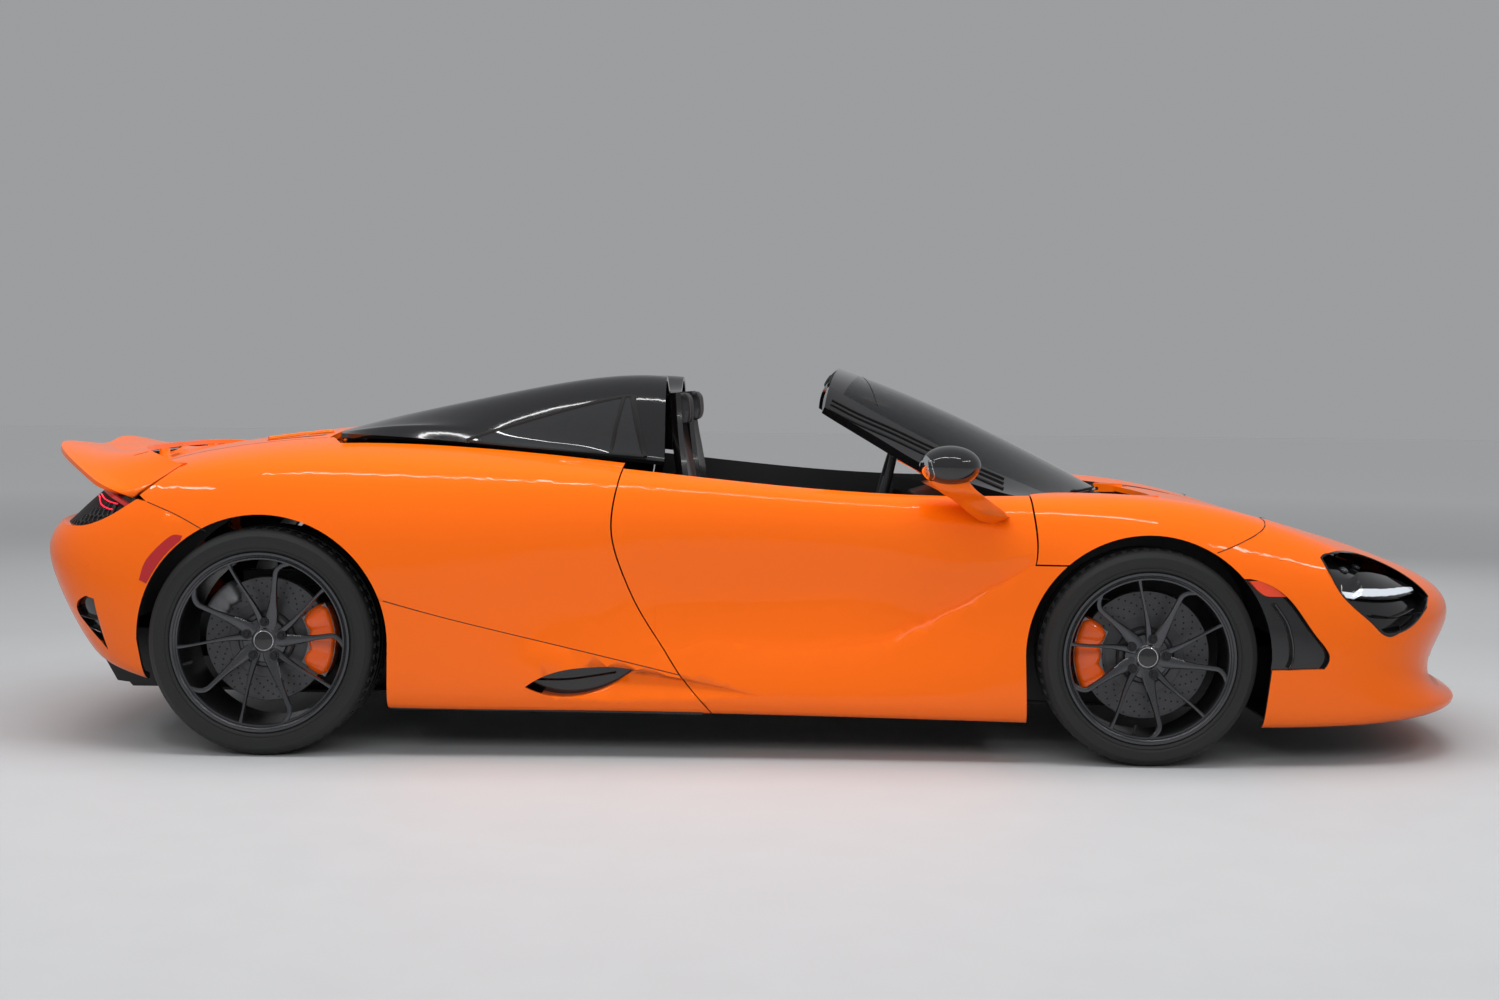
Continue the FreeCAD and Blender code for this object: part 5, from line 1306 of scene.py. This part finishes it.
profiles = []
for y in spaced(-0.70, 0.70, 48):
    deck_hits = heights_along(roof_tree, y)
    mesh_hits = heights_along(mesh_tree, y)
    if not deck_hits or not mesh_hits:
        continue
    deck_x, deck_z = deck_hits[-1]
    mesh_x, mesh_z = mesh_hits[0]
    under = wing_tree.ray_cast(Vector((mesh_x - 0.008, y, 0.60)), UP)[0]
    top = (under.z if under is not None else mesh_z + 0.02) - 0.004
    profiles.append((Vector((deck_x + 0.012, y, deck_z - 0.022)),
                     Vector((mesh_x + 0.004, y, mesh_z + 0.0015)),
                     Vector((mesh_x - 0.008, y, max(mesh_z + 0.002, top)))))


def seal_place(u, v):
    low, bend, top = profiles[int(round(u * (len(profiles) - 1)))]
    return mixed(low, bend, v * 2) if v <= 0.5 else mixed(bend, top, v * 2 - 1)


seal = bmesh.new()
slab(seal, seal_place, len(profiles) - 1, 4, 0.002)
add_piece(seal, "wing_seal", soft_seal)
print("wing seal profiles", len(profiles), brief(profiles[len(profiles) // 2][2]))

# %% [markdown]
# Slots in the upper panels. The bonnet has a long dark slot over each front wheel, and the rear
# deck a scoop each side under a raised body-colour lip. They lie on the skin as thin shaped slabs.
# %% Slots and scoops
SLOT_OUT = ((1.285, 0.500), (1.33, 0.510), (1.40, 0.497), (1.465, 0.470))
SLOT_IN = ((1.290, 0.478), (1.33, 0.474), (1.40, 0.474), (1.463, 0.466))
SCOOP_OUT = ((-1.56, 0.545), (-1.50, 0.560), (-1.42, 0.556), (-1.375, 0.540))
SCOOP_IN = ((-1.56, 0.515), (-1.50, 0.480), (-1.42, 0.450), (-1.375, 0.440))
LIP_LINE = ((-1.565, 0.500), (-1.50, 0.468), (-1.42, 0.438), (-1.37, 0.428))


def to_side(points, side):
    return [(x, side * y) for x, y in points]


for hand, side in HANDS:
    slot = bmesh.new()
    patch(slot, to_side(SLOT_OUT, side), to_side(SLOT_IN, side), on_top, 24, 4, 0.0008, 0.002)
    add_piece(slot, "bonnet_slot_" + hand, satin_black, "bonnet_lid")
    scoop = bmesh.new()
    patch(scoop, to_side(SCOOP_OUT, side), to_side(SCOOP_IN, side), on_top, 24, 6, 0.0010, 0.003)
    add_piece(scoop, "deck_scoop_" + hand, gloss_black)
    lip = bmesh.new()
    edge = [on_top(x, y, 0.002) for x, y in smooth_line(to_side(LIP_LINE, side), 24)]
    bead(lip, edge, 0.026, 0.014, 12)
    add_piece(lip, "scoop_lip_" + hand, orange_paint)
print("slots and scoops", len(HANDS))

# %% [markdown]
# The windscreen's black frame has rubber seals along the door side and across the header, where
# the roof would meet it. Each is a bead whose line is found on the frame itself by rays.
# %% Windscreen seals
frame_tree = node_tree_of("windscreen_frame")
glass_tree = surface_tree([nodes["windscreen_glass"], nodes["windscreen_frame"], nodes["cowl"],
                           panels["bonnet"]])
SEAL_LOW = [(222, 1052), (308, 1009), (418, 962), (520, 915), (640, 862), (760, 812)]
for hand, side in HANDS:
    seals = bmesh.new()
    for drop, wide in ((0, 0.010), (14, 0.006), (26, 0.006)):
        low = drawn([(x + drop * 0.4, z + drop) for x, z in SEAL_LOW])
        line = [on_side(x, z, side, 0.001, frame_tree) for x, z in smooth_line(low, 40)]
        bead(seals, [spot for spot in line if spot and abs(spot[0].y) > 0.40], wide, 0.007)
    add_piece(seals, "pillar_seals_" + hand, soft_seal)


def header_line(fall):
    line = []
    for y in spaced(-0.47, 0.47, 40):
        hits = [on_top(x, y, 0.0, frame_tree) for x in (0.225, 0.245, 0.265)]
        heights = [hit[0].z for hit in hits if hit]
        if heights:
            start = Vector((-0.2, y, max(heights) - fall))
            spot = frame_tree.ray_cast(start, Vector((1, 0, 0)))[0]
            if spot is not None and spot.x < 0.40:
                line.append((spot, Vector((-1, 0, 0))))
    return line


header = bmesh.new()
for fall, wide in ((0.014, 0.018), (0.042, 0.014)):
    line = header_line(fall)
    print("header seal", len(line), brief(line[len(line) // 2][0]))
    bead(header, line, wide, 0.012)
joint = [on_top(0.340 + 0.045 * (y / 0.55) ** 2, y, 0.0, glass_tree)
         for y in spaced(-0.50, 0.50, 40)]
bead(header, joint, 0.004, 0.001)
add_piece(header, "header_seals", soft_seal)

# %% [markdown]
# Each wiper turns on a round spindle at the foot of the glass. Its arm is a bead that bends once,
# and the thinner blade lies behind the arm and closer to the glass.
# %% Wipers
# start at the spindle, bend of the arm and tip, each as x and y
WIPERS = (((1.135, -0.16), (1.08, -0.36), (0.985, -0.60)),
          ((1.150, 0.30), (1.165, 0.08), (1.150, -0.16)))


def on_glass(points, behind, lift):
    line = smooth_line(points, 24)
    return [on_top(spot.x - behind, spot.y, lift, glass_tree) for spot in line]


wipers = bmesh.new()
for start, bend, tip in WIPERS:
    bead(wipers, on_glass([start, bend, tip], 0.0, 0.016), 0.012, 0.009)
    blade_start = mixed(Vector(start), Vector(bend), 0.4)
    bead(wipers, on_glass([blade_start, bend, tip], 0.018, 0.007), 0.006, 0.012)
    knob = on_top(*start, 0.008, glass_tree)[0]
    cone(wipers, Matrix.Translation(knob), 24, 0.017, 0.013, 0.022)
add_piece(wipers, "wipers", satin_black, smooth=35.0)
print("wipers", len(WIPERS))

# %% [markdown]
# The cover behind the seats carries two buttresses with dark glass in their sides. The pane is a
# slab just proud of the cover, framed by satin seals, and a thick soft seal closes the front edge.
# %% Buttress windows
pane_dark = finish("pane_dark", (0.010, 0.011, 0.013), (0.018, 0.019, 0.021), (0.03, 0.06), 60.0,
                   coat=1.0)
cover_tree = node_tree_of("tonneau_cover")
PANE_TOP = drawn([(-900, 944), (-803, 978), (-615, 1036), (-470, 1073), (-395, 1086)])
PANE_LOW = drawn([(-890, 941), (-730, 926), (-560, 912), (-440, 904), (-352, 898)])
PANE_TRIMS = ((PANE_TOP, 0.012), (PANE_LOW, 0.010),
              (drawn([(-418, 1082), (-440, 990), (-455, 906)]), 0.012),
              (drawn([(-392, 1086), (-372, 990), (-350, 898)]), 0.020))
for hand, side in HANDS:
    find = side_finder(side, cover_tree)
    pane = bmesh.new()
    patch(pane, PANE_TOP, PANE_LOW, find, 30, 8, 0.0010, 0.003)
    add_piece(pane, "buttress_pane_" + hand, pane_dark, "tonneau")
    trims = bmesh.new()
    for line, wide in PANE_TRIMS:
        bead(trims, [find(x, z, 0.001) for x, z in smooth_line(line, 40)], wide, 0.006)
    add_piece(trims, "buttress_trims_" + hand, soft_seal, "tonneau")
print("buttress windows", len(HANDS))

# %% [markdown]
# Seats. A real bucket seat is a hard shell with separate foam pads under hide: a centre pad and
# two raised side pads on both the base and the back, and a head pad. Each pad starts as a small
# cube cut into a grid, which is laid along the seat's bent middle line and crowned.
# %% The seat's middle line
SEAT_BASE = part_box("seats")[0][2]
SEAT_MIDDLE = 0.370
SPINE = [(0.262, SEAT_BASE + 0.150), (0.100, SEAT_BASE + 0.148), (-0.070, SEAT_BASE + 0.142),
         (-0.140, SEAT_BASE + 0.190), (-0.178, 0.560), (-0.204, 0.725), (-0.228, 0.875),
         (-0.246, 1.000), (-0.254, 1.108)]
SPINE_STEPS = 160
spine_line = smooth_line(SPINE, SPINE_STEPS)


def spine_spot(share):
    k = min(SPINE_STEPS - 1, max(0, int(share * SPINE_STEPS)))
    here = mixed(spine_line[k], spine_line[k + 1], share * SPINE_STEPS - k)
    run = spine_line[min(SPINE_STEPS, k + 3)] - spine_line[max(0, k - 3)]
    run.normalize()
    return here, Vector((run.y, -run.x))


print("half way up the seat", brief(spine_spot(0.5)[0]))

# %% Laying one pad
def narrowed(share, high):
    return 1.0 if high < 0.7 else 1 - 0.30 * max(0.0, share - 0.60) / 0.25


def hands_of(middle):
    return (1, -1) if middle else (1,)


def lay_pad(shape, low, high, middle, half_wide, half_deep, rise):
    known = set(shape.verts)
    block = bmesh.ops.create_cube(shape, size=2.0)["verts"]
    edges = list({edge for vert in block for edge in vert.link_edges})
    bmesh.ops.subdivide_edges(shape, edges=edges, cuts=9, use_grid_fill=True)
    for vert in [vert for vert in shape.verts if vert not in known]:
        a, b, c = vert.co
        share = mixed(low, high, (a + 1) / 2)
        crown = 0.50 + 0.50 * (1 - a ** 4) * (1 - b ** 4)
        pull = 1 - 0.05 * (1 - a * a)
        here, up = spine_spot(share)
        lift = rise + c * half_deep * crown
        across = middle * narrowed(share, high) + b * half_wide * pull
        vert.co = Vector((here.x + up.x * lift, across, here.y + up.y * lift))


print("pads on both sides", hands_of(0.18))

# %% The pads of one seat
# start and end along the spine, middle and half width across, half thickness, rise off the spine
PADS = {"base": (0.03, 0.345, 0.000, 0.128, 0.030, 0.014),
        "base sides": (0.03, 0.350, 0.188, 0.046, 0.042, 0.030),
        "back": (0.405, 0.865, 0.000, 0.120, 0.030, 0.008),
        "back sides": (0.40, 0.830, 0.180, 0.050, 0.048, 0.028),
        "head": (0.878, 0.990, 0.000, 0.112, 0.028, 0.006)}
pad_shape = bmesh.new()
for low, high, middle, half_wide, half_deep, rise in PADS.values():
    for hand in hands_of(middle):
        lay_pad(pad_shape, low, high, hand * middle, half_wide, half_deep, rise)
bmesh.ops.recalc_face_normals(pad_shape, faces=pad_shape.faces)
pad_piece = add_piece(pad_shape, "seat_pads_left", seat_hide, CHASSIS, 60.0, ["seats"])
remesh = pad_piece.modifiers.new("even_mesh", "REMESH")
remesh.mode = "VOXEL"
remesh.voxel_size = 0.006
bpy.context.view_layer.objects.active = pad_piece
pad_piece.select_set(True)
bpy.ops.object.modifier_apply(modifier="even_mesh")
print("pads", list(PADS))

# %% [markdown]
# Cloth pressure swells the pads, so their sides pull in between the corners as a sewn cover does.
# No point may move further than the foam behind real hide would let it.
# %% Swelling
SWELL_CAP = 0.012
start_spots = [vert.co.copy() for vert in pad_piece.data.vertices]
cloth = pad_piece.modifiers.new("swell", "CLOTH")
cloth.settings.use_pressure = True
cloth.settings.uniform_pressure_force = 4.0
cloth.settings.effector_weights.gravity = 0.0
cloth.settings.quality = 4
for moment in range(1, 13):
    bpy.context.scene.frame_set(moment)
bpy.ops.object.modifier_apply(modifier="swell")
bpy.context.scene.frame_set(1)
for vert, start in zip(pad_piece.data.vertices, start_spots):
    move = vert.co - start
    if move.length > SWELL_CAP:
        vert.co = start + move.normalized() * SWELL_CAP
print("pads", len(pad_piece.data.polygons), "faces")

# %% [markdown]
# Seams run across the middle pads of the real seat. They are pressed in along the spine as shallow
# channels that end before the side pads. The second seat is the first one mirrored.
# %% Sewn channels and the second seat
CHANNELS = (0.10, 0.155, 0.21, 0.265, 0.48, 0.535, 0.59, 0.645, 0.70, 0.755, 0.81)
CHANNEL_HALF, CHANNEL_DEEP, CHANNEL_END = 0.014, 0.0045, 0.115


def near_spine(spot):
    flat = Vector((spot.x, spot.z))
    best = min(range(0, SPINE_STEPS + 1, 2),
               key=lambda k: (spine_line[k] - flat).length_squared)
    return best / SPINE_STEPS


for vert in pad_piece.data.vertices:
    if abs(vert.co.y) < CHANNEL_END:
        share = near_spine(vert.co)
        here, up = spine_spot(share)
        above = (vert.co.x - here.x) * up.x + (vert.co.z - here.y) * up.y
        gap = min(abs(share - channel) for channel in CHANNELS)
        if above > 0.012 and gap < CHANNEL_HALF:
            ending = eased(min(1.0, (CHANNEL_END - abs(vert.co.y)) / 0.02))
            press = CHANNEL_DEEP * (1 - (gap / CHANNEL_HALF) ** 2) * ending
            vert.co.x -= up.x * press
            vert.co.z -= up.y * press
for vert in pad_piece.data.vertices:
    vert.co.y += SEAT_MIDDLE
pad_piece.data.shade_smooth()
second = pad_piece.copy()
second.data = pad_piece.data.copy()
second.name = "seat_pads_right"
bpy.context.scene.collection.objects.link(second)
for vert in second.data.vertices:
    vert.co.y *= -1
second.data.flip_normals()
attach(second, CHASSIS)
for piece in (pad_piece, second):
    rounder = piece.modifiers.new("rounder", "SUBSURF")
    rounder.levels = 1
    rounder.render_levels = 1
print("channels", len(CHANNELS))

# %% [markdown]
# Behind the pads stands the seat's thin hard shell, wide at the hips and narrow at the head, and
# pale stitches run along the edge of every pad. The stitches are tiny five-sided rods on the hide.
# %% The shell's form
shell_black = finish("shell_black", (0.010, 0.010, 0.011), (0.018, 0.018, 0.019), (0.22, 0.34),
                     500.0, coat=0.3)


def shell_half(share):
    return mixed(0.236, 0.130, eased(min(1.0, max(0.0, (share - 0.70) / 0.24))))


def shell_form(side):
    def place(u, v):
        share = mixed(0.02, 0.995, u)
        here, up = spine_spot(share)
        b = 2 * v - 1
        drop = -0.040 + 0.030 * abs(b) ** 3
        return Vector((here.x + up.x * drop, side * SEAT_MIDDLE + b * shell_half(share),
                       here.y + up.y * drop))

    return place


print("shell across", brief([2 * shell_half(share) for share in (0.0, 1.0)]))

# %% One stitch
stitch_tone = finish("stitch_tone", (0.26, 0.20, 0.17), (0.18, 0.14, 0.12), (0.6, 0.7), 600.0)
SEW_REACH = 0.22


def sew(shape, hide_tree, share, y):
    here, up = spine_spot(share)
    start = Vector((here.x + up.x * 0.2, y, here.y + up.y * 0.2))
    spot, normal = hide_tree.ray_cast(start, Vector((-up.x, 0, -up.y)), SEW_REACH)[:2]
    if spot is None:
        return
    after = spine_spot(min(1.0, share + 0.01))[0]
    run = Vector((after.x - here.x, 0, after.y - here.y)).normalized()
    lying = Matrix((run, normal.cross(run), normal)).transposed().to_4x4()
    stand = Matrix.Translation(spot + normal * 0.0004) @ lying
    cone(shape, stand @ Matrix.Rotation(math.pi / 2, 4, "Y"), 5, 0.0009, 0.0009, 0.0042)


print("thread", stitch_tone.name)

# %% Seat shells and stitches
STITCHES_PER_SPINE = 190
# start and end along the spine, middle and half width across
STITCH_ROWS = ((0.44, 0.84, 0.0, 0.104), (0.05, 0.33, 0.0, 0.110), (0.43, 0.78, 0.176, 0.034),
               (0.89, 0.975, 0.0, 0.088))
for hand, side in HANDS:
    seat_shell = bmesh.new()
    slab(seat_shell, shell_form(side), 60, 16, 0.018)
    add_piece(seat_shell, "seat_shell_" + hand, shell_black)
    hide_tree = surface_tree([pad_piece if side > 0 else second])
    stitches = bmesh.new()
    for low, high, middle, half_wide in STITCH_ROWS:
        count = int((high - low) * STITCHES_PER_SPINE)
        for edge in (-1, 1):
            for flank in hands_of(middle):
                for i in range(count):
                    share = mixed(low, high, i / count)
                    inset = flank * middle * narrowed(share, high)
                    sew(stitches, hide_tree, share,
                        side * SEAT_MIDDLE + inset + edge * half_wide)
    print("stitches", hand, len(stitches.verts) // 10)
    add_piece(stitches, "seat_stitches_" + hand, stitch_tone)

# %% [markdown]
# Mirror glass. Each mirror's glass fills the back of its cap, inside a thin black rim. A round
# grid is squared to the cap's outline and laid just off the cap's own back face by rays.
# %% Mirror glass
silver_glass = finish("silver_glass", (0.75, 0.77, 0.80), (0.68, 0.70, 0.73), (0.02, 0.04), 40.0,
                      metallic=1.0)
GLASS_HEIGHT = 0.893


def mirror_form(hand, side):
    cap_low, cap_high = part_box("mirror_" + hand)
    cap_tree = node_tree_of("mirror_" + hand)
    outer_y = max(abs(cap_low[1]), abs(cap_high[1]))

    def place(u, v):
        across, up = squared(2 * math.pi * u, 0.8)
        y = side * (outer_y - 0.095 + 0.078 * v * across)
        z = GLASS_HEIGHT + 0.040 * v * up
        struck = cap_tree.ray_cast(Vector((-0.2, y, z)), Vector((1, 0, 0)))[0]
        return Vector(((struck.x if struck else 0.52) - 0.0006, y, z))

    return place


for hand, side in HANDS:
    glass = bmesh.new()
    bent_grid(glass, mirror_form(hand, side), 40, 6)
    add_piece(glass, "mirror_glass_" + hand, silver_glass, hand + "_door")
print("mirror glass", len(HANDS))

# %% [markdown]
# The floor is one wide pale sheet under the tyres. Its colour is painted paler with the distance
# from the car, as painted light where the lamps' light falls off, so that it meets the pale wall of
# the studio without a hard line.
# %% Floor
floor_tone = finish("floor_tone", (0.50, 0.51, 0.52), (0.53, 0.54, 0.55), (0.55, 0.65), 6.0)
tree = floor_tone.node_tree
where_on_floor = tree.nodes.new("ShaderNodeTexCoord")
reach_out = tree.nodes.new("ShaderNodeVectorMath")
reach_out.operation = "LENGTH"
fade = tree.nodes.new("ShaderNodeMapRange")
fade.inputs["From Min"].default_value = 4.0
fade.inputs["From Max"].default_value = 16.0
# painted light: the floor colour turns paler further out, where the lamps' light falls off
painted_far_light = tree.nodes.new("ShaderNodeMix")
painted_far_light.data_type = "RGBA"
painted_far_light.inputs[MIX_B].default_value = (0.97, 0.97, 0.97, 1)
floor_group = next(node for node in tree.nodes if node.type == "GROUP")
floor_shader = tree.nodes["Principled BSDF"]
wire(tree, (where_on_floor.outputs["Object"], reach_out.inputs[0]),
     (reach_out.outputs["Value"], fade.inputs["Value"]),
     (fade.outputs["Result"], painted_far_light.inputs[MIX_FACTOR]),
     (floor_group.outputs["Tone"], painted_far_light.inputs[MIX_A]),
     (painted_far_light.outputs[MIX_RESULT], floor_shader.inputs["Base Color"]))
sheet = bmesh.new()
bmesh.ops.create_grid(sheet, x_segments=2, y_segments=2, size=40.0)
floor_data = bpy.data.meshes.new("floor")
sheet.to_mesh(floor_data)
sheet.free()
floor_data.materials.append(floor_tone)
floor = to_scene("floor", floor_data)
print("floor", brief(floor.dimensions))
